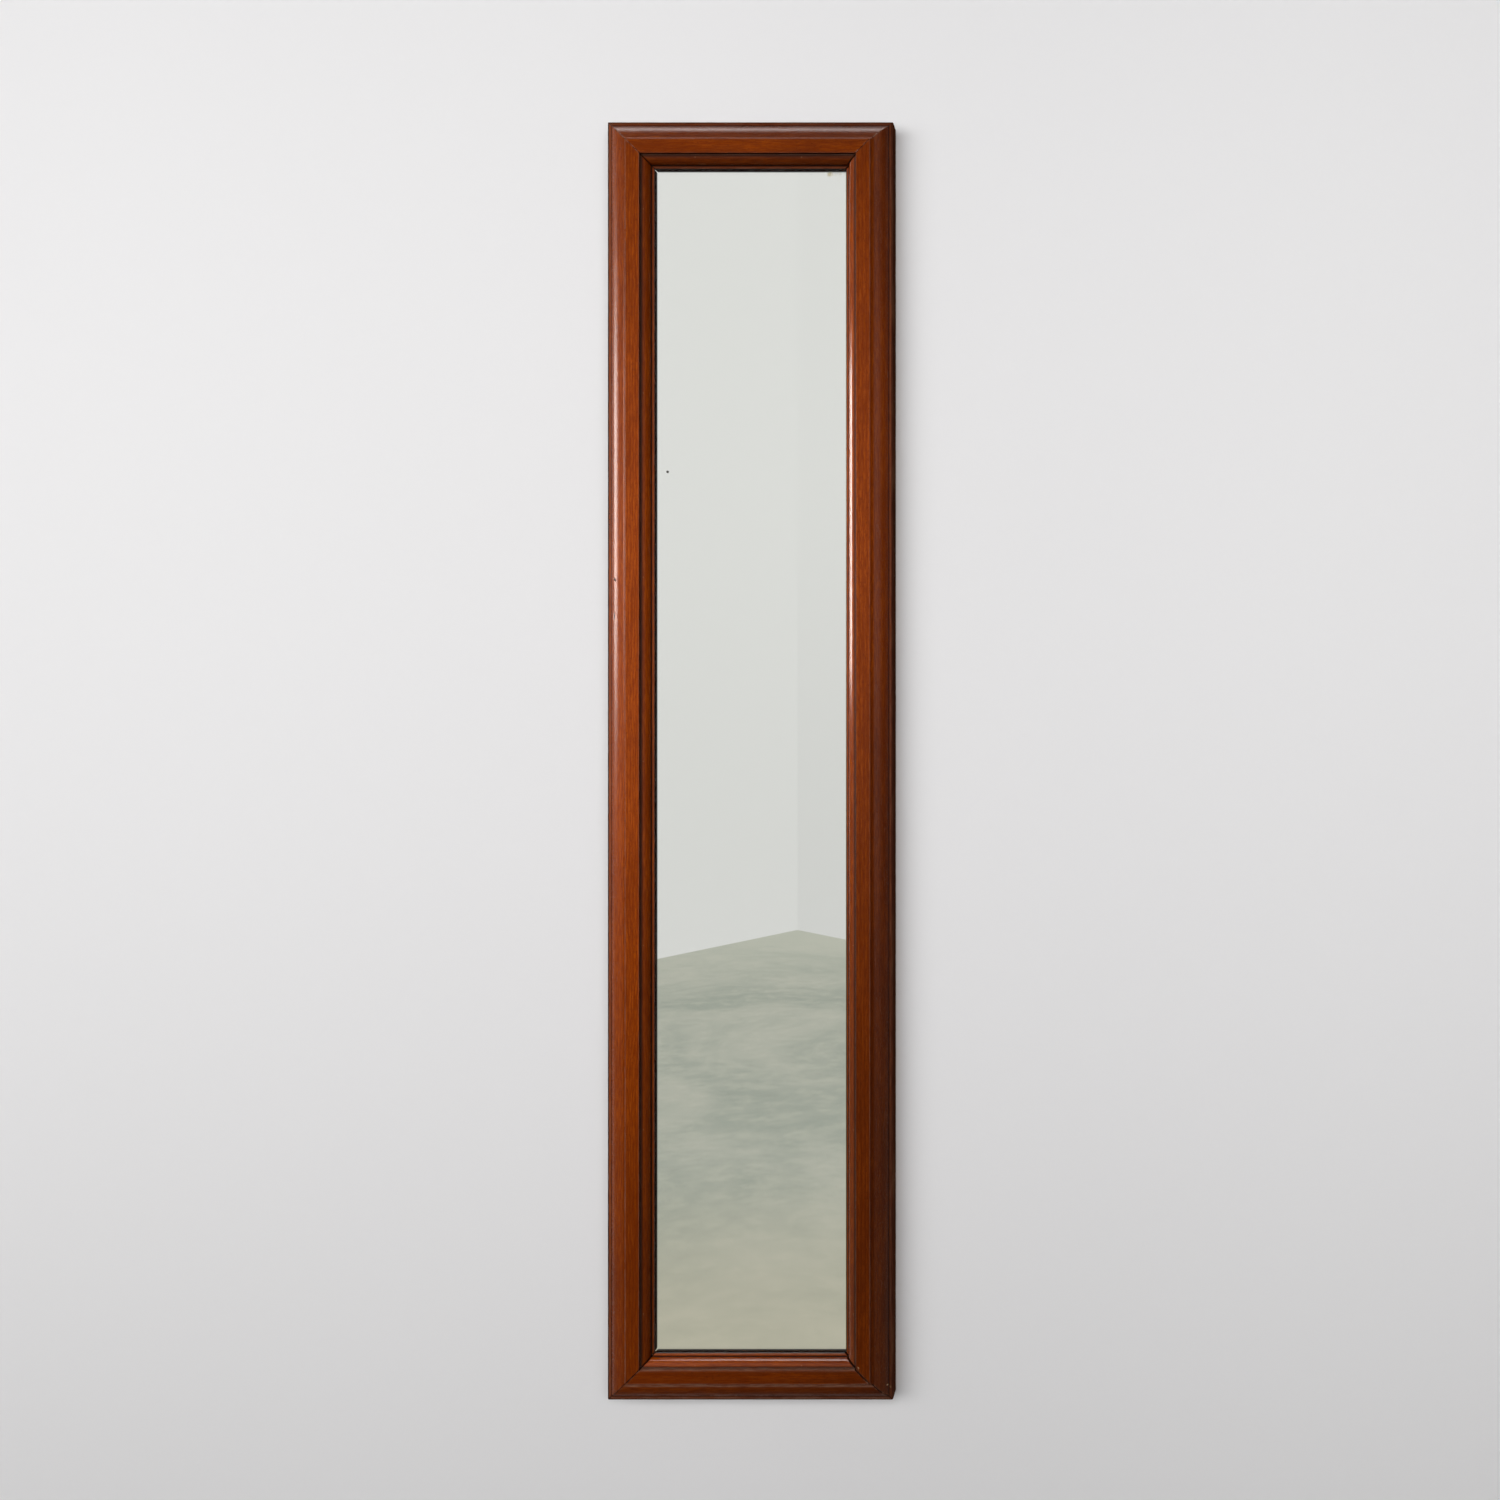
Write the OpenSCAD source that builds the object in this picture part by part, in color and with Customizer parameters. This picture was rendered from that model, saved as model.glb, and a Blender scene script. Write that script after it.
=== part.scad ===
// Pier mirror: a tall, narrow looking glass in a mitred hardwood frame.
// The wall plane is Y = 0 and the front faces -Y. +Z is up, and +X is to the viewer's right.
// The origin is the middle of the wall face of the top wall pad.
// A section is drawn with "a" running inward from the outer edge of the frame,
// and "h" running forward from the plane of the frame's back.

/* [Frame] */
// Width over the frame
frame_w = 400; // [320:1:600]
// Height over the frame
frame_h = 1790; // [1400:1:2200]

/* [Main moulding] */
// Height of the outer edge, from the back to the outer fillet
edge_h = 28; // [24:0.5:40]
// Width of the level fillet along the outer edge
fillet_w = 6; // [3:0.5:10]
// Width of the outer ovolo
ovolo_w = 18; // [12:0.5:26]
// Rise of the outer ovolo
ovolo_rise = 10.5; // [6:0.5:13]
// Radius of the cove between the ovolo and the flat
cove_r = 5.5; // [3:0.5:8]
// Width of the flat
flat_w = 20.3; // [14:0.1:30]

/* [Slip moulding] */
// Width of the slip that beds on the ledge of the main moulding
slip_bed_w = 8.2; // [6:0.1:9]
// Thickness of the lip over the glass
lip_t = 4.2; // [3:0.1:7]
// Width of the lip's face
lip_w = 4.3; // [3:0.1:7]
// Depth of the quirk between the lip and the ovolo
quirk_h = 1; // [0.5:0.1:2]
// Radius of the slip's ovolo
slip_ovolo_r = 10.3; // [9:0.1:13]
// Width of the fillet at the foot of the step
slip_fillet_w = 1.6; // [1:0.1:3]

/* [Glass] */
// Thickness of the plate
glass_t = 5; // [3:0.5:8]
// Thickness of the silvering with its backing paint
silvering_t = 0.2; // [0.1:0.05:0.5]
// Distance that the silvering stays back from the plate's edge
silvering_inset = 1; // [0.5:0.5:3]
// Room between the plate's edge and the rebate
glass_room = 1; // [0.5:0.25:2]
// Depth from the plane of the back to the front of the glass
glass_front_h = 24; // [22:0.5:28]
// Leg of the three-cornered glazing blocks
block_leg = 7; // [4:0.5:8]
// Length of a glazing block
block_l = 38; // [20:1:60]
// Glazing blocks along a stile
blocks_stile = 6; // [3:1:9]
// Glazing blocks along a rail
blocks_rail = 2; // [1:1:3]
// Distance of the end blocks' middles from the ends of the rebate
block_margin = 50; // [35:5:60]

/* [Backboards] */
// Thickness of the boards
board_t = 5.5; // [4:0.5:8]
// Distance that the boards lie inside the plane of the back
board_recess = 1; // [0.5:0.5:2]
// Width of the ledge that the boards are nailed to
board_ledge_w = 8; // [7:0.5:9]
// Brads along each long edge of a board
brads_long = 3; // [2:1:5]
// Brads along the outer end of the upper board and of the lower board
brads_across = 2; // [1:1:4]
// Distance of the end brads from a board's ends
brad_margin = 45; // [20:5:80]
// Room around the boards and between them
board_room = 0.8; // [0.3:0.1:2]

/* [Mitres] */
// Width of the joint line of a mitre
mitre_gap = 0.1; // [0.05:0.05:0.5]
// Thickness of the loose tongue
tongue_t = 4; // [3:0.5:4.5]
// Width of the tongue across the joint
tongue_w = 24; // [16:1:32]
// Distance from the plane of the back to the tongue
tongue_h = 12.5; // [12:0.5:13.5]
// Distance of the tongue's ends from the wood's inner and outer edges
tongue_margin = 10; // [8:1:14]
// Room around the tongue in its slots
tongue_room = 0.15; // [0.05:0.05:0.3]

/* [Corner plates] */
// Length of a leg
plate_leg = 72; // [60:1:90]
// Width of a leg
plate_w = 14; // [12:0.5:16]
// Thickness
plate_t = 2; // [1.5:0.25:3]
// Distance from the frame's outer edge
plate_inset = 14; // [12:0.5:18]
// Distance of the near screws from the plate's corner
plate_hole_near = 30; // [26:1:36]
// Distance of the far screws from the leg's end
plate_hole_end = 9; // [7:1:12]

/* [Hangers] */
// Distance of the rings' hinge line below the top edge
hanger_drop = 340; // [200:5:500]
// Distance of a hanger's centre line from the outer edge
hanger_inset = 24; // [20:0.5:30]
// Width of a strap
strap_w = 16; // [12:0.5:20]
// Thickness of the strap's sheet
strap_t = 1.2; // [0.8:0.1:1.6]
// Length of a strap below the hinge line
strap_l = 58; // [50:1:80]
// Gap between the two layers of the folded strap
fold_gap = 0.2; // [0.1:0.05:0.4]
// Diameter of the ring's wire
ring_wire_d = 3; // [2:0.1:4]
// Radial clearance of the wire in the strap's eye
ring_room = 0.08; // [0.03:0.01:0.1]
// Radius of the bends beside the strap
ring_bend_r = 2.5; // [2.2:0.1:4]
// Length of the ring's straight legs
ring_leg = 2; // [1:0.5:8]
// Side play of the ring's bar in the strap
ring_play = 0.5; // [0.3:0.1:1]
// Distance of the upper screw below the hanging ring
strap_hole_clear = 9; // [7:0.5:12]
// Distance of the lower screw from the strap's end
strap_hole_end = 11; // [9:0.5:14]
// Clearance of the hanging ring over the strap
ring_rest_gap = 0.3; // [0.2:0.05:0.6]

/* [Wall pads] */
// Thickness of the pads, which is the gap behind the frame
pad_t = 8; // [7.5:0.5:14]
// Diameter of a pad
pad_d = 20; // [14:1:26]
// Width of the chamfer around a pad's wall face
pad_rim = 1; // [0.5:0.25:2]
// Distance of the pads' centres from the frame's outer edge
pad_inset = 24; // [18:0.5:28]
// Distance of the lower pads' centres above the bottom edge
pad_rise = 105; // [100:1:200]

/* [Fasteners] */
// Diameter of the mitre nails
nail_d = 1.8; // [1.4:0.1:2.2]
// Length of the mitre nails
nail_l = 44; // [30:1:45]
// Distance of the rail's nail from the plane of the back
rail_nail_h = 19; // [18.5:0.1:19.5]
// Distance of the stile's nail from the plane of the back
stile_nail_h = 22.5; // [22:0.1:23]
// Distance of the rail's nail from the frame's side
rail_nail_inset = 12; // [8:1:16]
// Distance of the stile's nail from the frame's end
stile_nail_inset = 20; // [18:1:26]
// Distance that the nails' heads are punched below the surface
nail_set = 2; // [1:0.5:4]
// Diameter of the backboard brads
brad_d = 1.4; // [1:0.1:1.8]
// Length of the backboard brads
brad_l = 13; // [11:0.5:14]
// Diameter of the slip pins
pin_d = 1.1; // [0.8:0.1:1.4]
// Length of the slip pins
pin_l = 18; // [14:0.5:20]
// Distance that the pins are punched below the slip's surface
pin_set = 1.5; // [1:0.1:2]
// Slip pins along a stile
pins_stile = 7; // [4:1:10]
// Slip pins along a rail
pins_rail = 2; // [1:1:4]
// Distance of the end pins from the ends of the slip's sight edge
pin_margin = 60; // [40:5:80]
// Shank diameter of the plate screws
plate_screw_d = 3; // [2.5:0.25:3.5]
// Length of the plate screws
plate_screw_l = 12; // [9:0.5:13]
// Shank diameter of the hanger screws
hanger_screw_d = 3.6; // [3:0.1:4.2]
// Length of the hanger screws
hanger_screw_l = 22; // [16:1:24]
// Room around every nail and screw
hole_room = 0.05; // [0.02:0.01:0.1]

/* [Hidden] */
$fn = 48;
over = 1;

// The moulding's lines, from the outer edge inward and from the back forward
cove_a = fillet_w + ovolo_w;
flat_a = cove_a + cove_r;
face_w = flat_a + flat_w;
rabbet_a = face_w + slip_bed_w;
ledge_a = rabbet_a - board_ledge_w;
slip_ovolo_a = face_w + slip_fillet_w + slip_ovolo_r;
sight_a = slip_ovolo_a + lip_w;
shoulder_h = edge_h + ovolo_rise;
flat_h = shoulder_h + cove_r;
ovolo_r = (ovolo_w * ovolo_w + ovolo_rise * ovolo_rise) / (2 * ovolo_rise);
lip_h = glass_front_h + lip_t;
slip_foot_h = lip_h + quirk_h;
slip_top_h = slip_foot_h + slip_ovolo_r;
glass_back_h = glass_front_h - glass_t;
silver_back_h = glass_back_h - silvering_t;
ledge_h = board_recess + board_t;

// The frame's place behind and around the origin
top_z = pad_inset;
bottom_z = top_z - frame_h;
middle_z = (top_z + bottom_z) / 2;
back_y = -pad_t;

// Hangers
hanger_x = frame_w / 2 - hanger_inset;
hinge_z = top_z - hanger_drop;
wire_r = ring_wire_d / 2;
eye_r = wire_r + ring_room;
eye_outer_r = eye_r + strap_t;
ply_top = 2 * strap_t + fold_gap;
ring_r = strap_w / 2 + ring_play + ring_bend_r;
ring_reach = ring_bend_r + ring_leg + ring_r;
// The hanging ring's bow first meets the strap where it crosses the strap's edges
ring_cross = ring_reach - ring_r + sqrt(ring_r * ring_r - strap_w * strap_w / 4);
ring_lean = asin((ply_top + ring_rest_gap + wire_r - eye_outer_r) / ring_cross);
strap_holes = [ring_reach + wire_r + strap_hole_clear, strap_l - strap_hole_end];
pan_head_r = hanger_screw_d;
pan_head_t = hanger_screw_d / 2;
pan_head_taper = 0.7;
screw_slot_w = 0.8;
screw_slot_d = 0.8;
screw_tip_r = 0.2;

// Countersunk plate screws
sunk_head_r = plate_screw_d * 1.05;
plate_holes = [plate_hole_near, plate_leg - plate_hole_end];

// Fasteners in the wood
brad_a = (ledge_a + rabbet_a) / 2;
brad_head_r = brad_d;
brad_head_t = 0.7;
pin_a = face_w + slip_bed_w / 2;

// Height of the slip's ovolo over the line of its pins
pin_over = pin_a - face_w - slip_fillet_w;
pin_top_h = slip_foot_h + sqrt(slip_ovolo_r * slip_ovolo_r - pin_over * pin_over) - pin_set;

// Backboards
boards_w = frame_w - 2 * (ledge_a + board_room);
boards_h = frame_h - 2 * (ledge_a + board_room);
board_count = 3;
board_l = (boards_h - (board_count - 1) * board_room) / board_count;

// Length of each side of the frame, and its half-width across the frame
function side_len(side) = side % 2 == 0 ? frame_h : frame_w;
function side_out(side) = side % 2 == 0 ? frame_w / 2 : frame_h / 2;

// Evenly spaced places along a side, "margin" from its ends
function places(count, length, margin) =
    count == 1 ? [0] :
    [for (i = [0:count - 1]) (i / (count - 1) - 0.5) * (length - 2 * margin)];
function side_places(side, on_stile, on_rail, margin) =
    places(side % 2 == 0 ? on_stile : on_rail, side_len(side), margin);

// Centre height of a backboard, counted from the bottom
function board_z(i) = middle_z + (i - (board_count - 1) / 2) * (board_l + board_room);

// Places in the frame

// Sides are numbered from the right one: 0 right, 1 top, 2 left, 3 bottom.
// Children see the side as the right stile: X is the distance from the outer edge,
// negative inward, Y the wall direction and Z the length.
module at_side(side) {
    translate([0, back_y, middle_z])
        rotate([0, -90 * side, 0])
            translate([side_out(side), 0, 0])
                children();
}

// A section drawn as (a, h), laid along a side over its full length
module along_side(side) {
    length = side_len(side);
    at_side(side)
        translate([0, 0, -length / 2])
            rotate([0, 0, 180])
                linear_extrude(height = length)
                    children();
}

// The wedge that a mitred side keeps, between its two joint faces
module mitre_wedge(side) {
    half = side_len(side) / 2 - mitre_gap / sqrt(2);
    reach = sight_a + over;
    at_side(side)
        translate([0, over, 0])
            rotate([90, 0, 0])
                linear_extrude(height = flat_h + 2 * over)
                    polygon([[over, half + over], [over, -half - over],
                             [-reach, -half + reach], [-reach, half - reach]]);
}

// Corners are numbered 0 top right, 1 top left, 2 bottom left, 3 bottom right.
// Children see the corner point on the plane of the back, with X running inward
// along the frame's edge, Y inward along its other edge and Z forward.
module at_corner(corner) {
    right = corner == 0 || corner == 3;
    top = corner < 2;
    translate([right ? frame_w / 2 : -frame_w / 2, back_y, top ? top_z : bottom_z])
        mirror([right ? 1 : 0, 0, 0])
            mirror([0, 0, top ? 1 : 0])
                rotate([90, 0, 0])
                    children();
}

// A point of a side, "a" inward and "along" its length: Z points to the wall
module on_side(side, a, along, h = 0) {
    at_side(side)
        translate([-a, -h, along])
            rotate([-90, 0, 0])
                children();
}

// A point on the plane of the back: Z points to the wall
module on_back(x, z) {
    translate([x, back_y, z])
        rotate([-90, 0, 0])
            children();
}

// Sections

module main_section() {
    difference() {
        union() {
            polygon([[0, 0], [ledge_a, 0], [ledge_a, ledge_h], [rabbet_a, ledge_h],
                     [rabbet_a, glass_front_h], [face_w, glass_front_h], [face_w, flat_h],
                     [cove_a, flat_h], [cove_a, shoulder_h],
                     [fillet_w, edge_h], [0, edge_h]]);
            intersection() {
                translate([cove_a, shoulder_h - ovolo_r]) circle(r = ovolo_r);
                polygon([[fillet_w, edge_h], [cove_a, shoulder_h], [fillet_w, shoulder_h + over]]);
            }
        }
        translate([cove_a, flat_h]) circle(r = cove_r);
    }
}

module slip_section() {
    union() {
        polygon([[face_w, glass_front_h], [sight_a, glass_front_h], [sight_a, lip_h],
                 [slip_ovolo_a, lip_h], [slip_ovolo_a, slip_foot_h],
                 [face_w + slip_fillet_w, slip_foot_h], [face_w + slip_fillet_w, slip_top_h],
                 [face_w, slip_top_h]]);
        intersection() {
            translate([face_w + slip_fillet_w, slip_foot_h]) circle(r = slip_ovolo_r);
            translate([face_w + slip_fillet_w, slip_foot_h])
                square([slip_ovolo_r + over, slip_ovolo_r + over]);
        }
    }
}

// Fasteners and joints, drawn "grow" larger all round when they cut their own seats

module mitre_tongue(grow = 0) {
    length = (ledge_a - 2 * tongue_margin) * sqrt(2);
    translate([ledge_a / 2, ledge_a / 2, tongue_h - grow])
        rotate([0, 0, 45])
            translate([-length / 2 - grow, -tongue_w / 2 - grow, 0])
                cube([length + 2 * grow, tongue_w + 2 * grow, tongue_t + 2 * grow]);
}

// The two nails of a corner: one through the rail into the stile, one the other way
module mitre_nail_pair(grow = 0) {
    set = grow > 0 ? -over : nail_set;
    length = nail_l + grow + (nail_set - set);
    translate([rail_nail_inset, set, rail_nail_h])
        rotate([-90, 0, 0])
            cylinder(h = length, d = nail_d + 2 * grow);
    translate([set, stile_nail_inset, stile_nail_h])
        rotate([0, 90, 0])
            cylinder(h = length, d = nail_d + 2 * grow);
}

// A brad's head lies flush with the back of the board
module backboard_brad(grow = 0) {
    translate([0, 0, -board_recess]) {
        translate([0, 0, -brad_l - grow]) cylinder(h = brad_l + grow, d = brad_d + 2 * grow);
        translate([0, 0, -brad_head_t])
            cylinder(h = brad_head_t + (grow > 0 ? over : 0), r = brad_head_r + grow);
    }
}

module slip_pin(grow = 0) {
    translate([0, 0, -pin_top_h - (grow > 0 ? over + pin_set : 0)])
        cylinder(h = pin_l + grow + (grow > 0 ? over + pin_set : 0), d = pin_d + 2 * grow);
}

// A shank with a point, down from Z = 0
module screw_shank(d, length, grow = 0) {
    point = d;
    translate([0, 0, point - length]) cylinder(h = length - point, d = d + 2 * grow);
    translate([0, 0, -length - grow])
        cylinder(h = point + grow, r1 = screw_tip_r + grow, r2 = d / 2 + grow);
}

// The driver's slot of a head whose top is at Z = 0
module screw_slot(head_r) {
    translate([-head_r - over, -screw_slot_w / 2, -screw_slot_d])
        cube([2 * (head_r + over), screw_slot_w, screw_slot_d + over]);
}

module plate_screw(grow = 0) {
    depth = sunk_head_r - plate_screw_d / 2;
    difference() {
        union() {
            screw_shank(plate_screw_d, plate_screw_l, grow);
            translate([0, 0, -depth])
                cylinder(h = depth, r1 = plate_screw_d / 2 + grow, r2 = sunk_head_r + grow);
        }
        if (grow == 0)
            screw_slot(sunk_head_r);
    }
}

module hanger_screw(grow = 0) {
    screw_shank(hanger_screw_d, hanger_screw_l, grow);
    if (grow == 0)
        difference() {
            cylinder(h = pan_head_t, r1 = pan_head_r, r2 = pan_head_r - pan_head_taper);
            translate([0, 0, pan_head_t]) screw_slot(pan_head_r);
        }
}

// Where the fasteners go

module all_backboard_brads(grow = 0) {
    for (side = [0, 2], i = [0:board_count - 1], step = places(brads_long, board_l, brad_margin))
        on_side(side, brad_a, (side == 0 ? 1 : -1) * (board_z(i) - middle_z) + step)
            backboard_brad(grow);
    for (side = [1, 3], along = places(brads_across, boards_w, brad_margin))
        on_side(side, brad_a, along) backboard_brad(grow);
}

module all_slip_pins(grow = 0) {
    for (side = [0:3], along = side_places(side, pins_stile, pins_rail, sight_a + pin_margin))
        on_side(side, pin_a, along) slip_pin(grow);
}

module all_plate_screws(grow = 0) {
    for (corner = [0:3], place = plate_holes, flip = [0, 1])
        at_corner(corner)
            mirror([flip, -flip, 0])
                translate([plate_inset + place, plate_inset + plate_w / 2, -plate_t])
                    mirror([0, 0, 1])
                        plate_screw(grow);
}

module all_hanger_screws(grow = 0) {
    for (side = [-1, 1], drop = strap_holes)
        on_back(side * hanger_x, hinge_z - drop)
            translate([0, 0, ply_top])
                hanger_screw(grow);
}

module all_mitre_cuts() {
    for (corner = [0:3])
        at_corner(corner) {
            mitre_tongue(tongue_room);
            mitre_nail_pair(hole_room);
        }
}

// Pieces

module frame_member(side) {
    color([0.50, 0.20, 0.07])
        difference() {
            intersection() {
                along_side(side) main_section();
                mitre_wedge(side);
            }
            all_mitre_cuts();
            all_backboard_brads(hole_room);
            all_slip_pins(hole_room);
            all_plate_screws(hole_room);
            all_hanger_screws(hole_room);
        }
}

module slip_member(side) {
    color([0.38, 0.15, 0.06])
        difference() {
            intersection() {
                along_side(side) slip_section();
                mitre_wedge(side);
            }
            all_slip_pins(hole_room);
        }
}

module left_stile() { frame_member(2); }
module right_stile() { frame_member(0); }
module top_rail() { frame_member(1); }
module bottom_rail() { frame_member(3); }

module left_slip() { slip_member(2); }
module right_slip() { slip_member(0); }
module top_slip() { slip_member(1); }
module bottom_slip() { slip_member(3); }

// A sheet centred in the frame: "a" is its edge's distance from the frame's outer edge
module sheet(a, h, t) {
    translate([-frame_w / 2 + a, back_y - h - t, bottom_z + a])
        cube([frame_w - 2 * a, t, frame_h - 2 * a]);
}

module mirror_plate() {
    color([0.72, 0.80, 0.78]) sheet(rabbet_a + glass_room, glass_back_h, glass_t);
}

module silvering() {
    color([0.75, 0.76, 0.76])
        sheet(rabbet_a + glass_room + silvering_inset, silver_back_h, silvering_t);
}

// Three-cornered blocks glued into the rebate behind the plate
module glazing_blocks() {
    color([0.72, 0.56, 0.36])
        for (side = [0:3], along = side_places(side, blocks_stile, blocks_rail, rabbet_a + block_margin))
            at_side(side)
                translate([-rabbet_a, -silver_back_h, along - block_l / 2])
                    linear_extrude(height = block_l)
                        polygon([[0, 0], [-block_leg, 0], [0, block_leg]]);
}

module backboard(i) {
    color([0.62, 0.46, 0.28])
        difference() {
            translate([-boards_w / 2, back_y - ledge_h, board_z(i) - board_l / 2])
                cube([boards_w, board_t, board_l]);
            all_backboard_brads(hole_room);
        }
}
module upper_backboard() { backboard(2); }
module middle_backboard() { backboard(1); }
module lower_backboard() { backboard(0); }

module backboard_brads() { color([0.35, 0.33, 0.32]) all_backboard_brads(); }
module slip_pins() { color([0.35, 0.33, 0.32]) all_slip_pins(); }
module mitre_nails() {
    color([0.35, 0.33, 0.32])
        for (corner = [0:3]) at_corner(corner) mitre_nail_pair();
}
module mitre_tongues() {
    color([0.66, 0.48, 0.28])
        for (corner = [0:3]) at_corner(corner) mitre_tongue();
}

module corner_plate(corner) {
    color([0.42, 0.40, 0.38])
        difference() {
            at_corner(corner)
                translate([plate_inset, plate_inset, -plate_t]) {
                    cube([plate_leg, plate_w, plate_t]);
                    cube([plate_w, plate_leg, plate_t]);
                }
            all_plate_screws(hole_room);
        }
}
module corner_plate_top_right() { corner_plate(0); }
module corner_plate_top_left() { corner_plate(1); }
module corner_plate_bottom_left() { corner_plate(2); }
module corner_plate_bottom_right() { corner_plate(3); }
module corner_plate_screws() { color([0.50, 0.48, 0.45]) all_plate_screws(); }

// A strip folded back on itself around the ring's bar, with a round lower end
module hanger_strap(side) {
    color([0.66, 0.60, 0.42])
        on_back(side * hanger_x, hinge_z)
            difference() {
                union() {
                    for (level = [0, strap_t + fold_gap])
                        translate([0, 0, level])
                            linear_extrude(height = strap_t)
                                union() {
                                    translate([-strap_w / 2, 0])
                                        square([strap_w, strap_l - strap_w / 2]);
                                    translate([0, strap_l - strap_w / 2]) circle(d = strap_w);
                                }
                    translate([-strap_w / 2, 0, eye_outer_r])
                        rotate([0, 90, 0])
                            cylinder(h = strap_w, r = eye_outer_r);
                }
                translate([-strap_w / 2 - over, 0, eye_outer_r])
                    rotate([0, 90, 0])
                        cylinder(h = strap_w + 2 * over, r = eye_r);
                for (drop = strap_holes)
                    translate([0, drop, -over])
                        cylinder(h = ply_top + 2 * over, d = hanger_screw_d + 2 * hole_room);
            }
}
module left_hanger_strap() { hanger_strap(-1); }
module right_hanger_strap() { hanger_strap(1); }

// A D of round wire, drawn in the XY plane with its bar on X and its bow toward +Y
module wire_d() {
    bar = 2 * (ring_r - ring_bend_r);
    translate([-bar / 2, 0, 0]) rotate([0, 90, 0]) cylinder(h = bar, r = wire_r);
    for (flip = [0, 1])
        mirror([flip, 0, 0]) {
            translate([bar / 2, ring_bend_r, 0])
                rotate([0, 0, -90])
                    rotate_extrude(angle = 90) translate([ring_bend_r, 0]) circle(r = wire_r);
            translate([ring_r, ring_bend_r, 0])
                rotate([-90, 0, 0]) cylinder(h = ring_leg, r = wire_r);
        }
    translate([0, ring_bend_r + ring_leg, 0])
        rotate_extrude(angle = 180) translate([ring_r, 0]) circle(r = wire_r);
}

// The ring hangs over the strap and leans on it
module hanger_ring(side) {
    color([0.70, 0.64, 0.44])
        on_back(side * hanger_x, hinge_z)
            translate([0, 0, eye_outer_r])
                rotate([ring_lean, 0, 0])
                    wire_d();
}
module left_hanger_ring() { hanger_ring(-1); }
module right_hanger_ring() { hanger_ring(1); }
module hanger_screws() { color([0.60, 0.56, 0.42]) all_hanger_screws(); }

// Three pads, so that the frame can't rock on the wall
module wall_pad() {
    cylinder(h = pad_t - pad_rim, d = pad_d);
    translate([0, 0, pad_t - pad_rim])
        cylinder(h = pad_rim, d1 = pad_d, d2 = pad_d - 2 * pad_rim);
}
module wall_pads() {
    color([0.16, 0.15, 0.14]) {
        on_back(0, top_z - pad_inset) wall_pad();
        for (side = [-1, 1])
            on_back(side * (frame_w / 2 - pad_inset), bottom_z + pad_rise) wall_pad();
    }
}

left_stile();
right_stile();
top_rail();
bottom_rail();
left_slip();
right_slip();
top_slip();
bottom_slip();
mirror_plate();
silvering();
glazing_blocks();
upper_backboard();
middle_backboard();
lower_backboard();
backboard_brads();
slip_pins();
mitre_nails();
mitre_tongues();
corner_plate_top_left();
corner_plate_top_right();
corner_plate_bottom_left();
corner_plate_bottom_right();
corner_plate_screws();
left_hanger_strap();
right_hanger_strap();
left_hanger_ring();
right_hanger_ring();
hanger_screws();
wall_pads();
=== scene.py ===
# %% [markdown]
# # A pier mirror, finished in Blender
# The object is a tall looking glass in a mitred hardwood frame, made to hang between two
# windows. The construction is fixed: this script only finds it, gives each piece its surface,
# and sets up a plain studio around it. The wall is the plane y = 0, the front faces -y, and z
# is up. All lengths are in metres.

# %% Load the fixed frame
import math

import bmesh
import bpy
import numpy as np
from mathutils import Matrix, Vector, noise


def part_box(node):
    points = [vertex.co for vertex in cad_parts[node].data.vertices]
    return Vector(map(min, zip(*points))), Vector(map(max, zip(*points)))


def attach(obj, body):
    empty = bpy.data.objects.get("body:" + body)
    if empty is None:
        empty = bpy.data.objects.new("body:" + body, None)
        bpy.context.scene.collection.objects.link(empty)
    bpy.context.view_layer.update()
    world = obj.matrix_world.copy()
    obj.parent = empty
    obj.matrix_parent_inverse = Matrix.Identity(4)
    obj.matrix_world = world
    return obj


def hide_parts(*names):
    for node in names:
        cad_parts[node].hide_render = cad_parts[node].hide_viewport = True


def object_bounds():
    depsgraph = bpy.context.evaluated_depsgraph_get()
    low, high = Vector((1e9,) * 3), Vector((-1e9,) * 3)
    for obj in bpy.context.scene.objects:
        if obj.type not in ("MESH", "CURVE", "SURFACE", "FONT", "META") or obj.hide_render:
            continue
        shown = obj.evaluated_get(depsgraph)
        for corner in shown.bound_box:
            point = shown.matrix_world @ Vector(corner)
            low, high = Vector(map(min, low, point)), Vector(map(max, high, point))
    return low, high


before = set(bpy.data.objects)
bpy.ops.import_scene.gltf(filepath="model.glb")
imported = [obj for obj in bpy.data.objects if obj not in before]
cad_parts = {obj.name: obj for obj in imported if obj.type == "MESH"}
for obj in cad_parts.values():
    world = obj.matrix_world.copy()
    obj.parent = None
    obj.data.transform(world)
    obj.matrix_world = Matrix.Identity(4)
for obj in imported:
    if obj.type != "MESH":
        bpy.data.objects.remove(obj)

cad_low, cad_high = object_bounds()
print("the frame measures", [round(size, 4) for size in cad_high - cad_low])

# %% [markdown]
# ## Measures
# Whatever the construction already says is read from it, so that nothing has to be fitted
# afterwards. Only the lines inside the mouldings, which no box can show, are written down
# here. In a section, "a" runs inward from the frame's outer edge and "h" forward from the
# plane of its back, as a joiner would draw it.

# %% Read the measures
mm = 0.001

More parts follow.
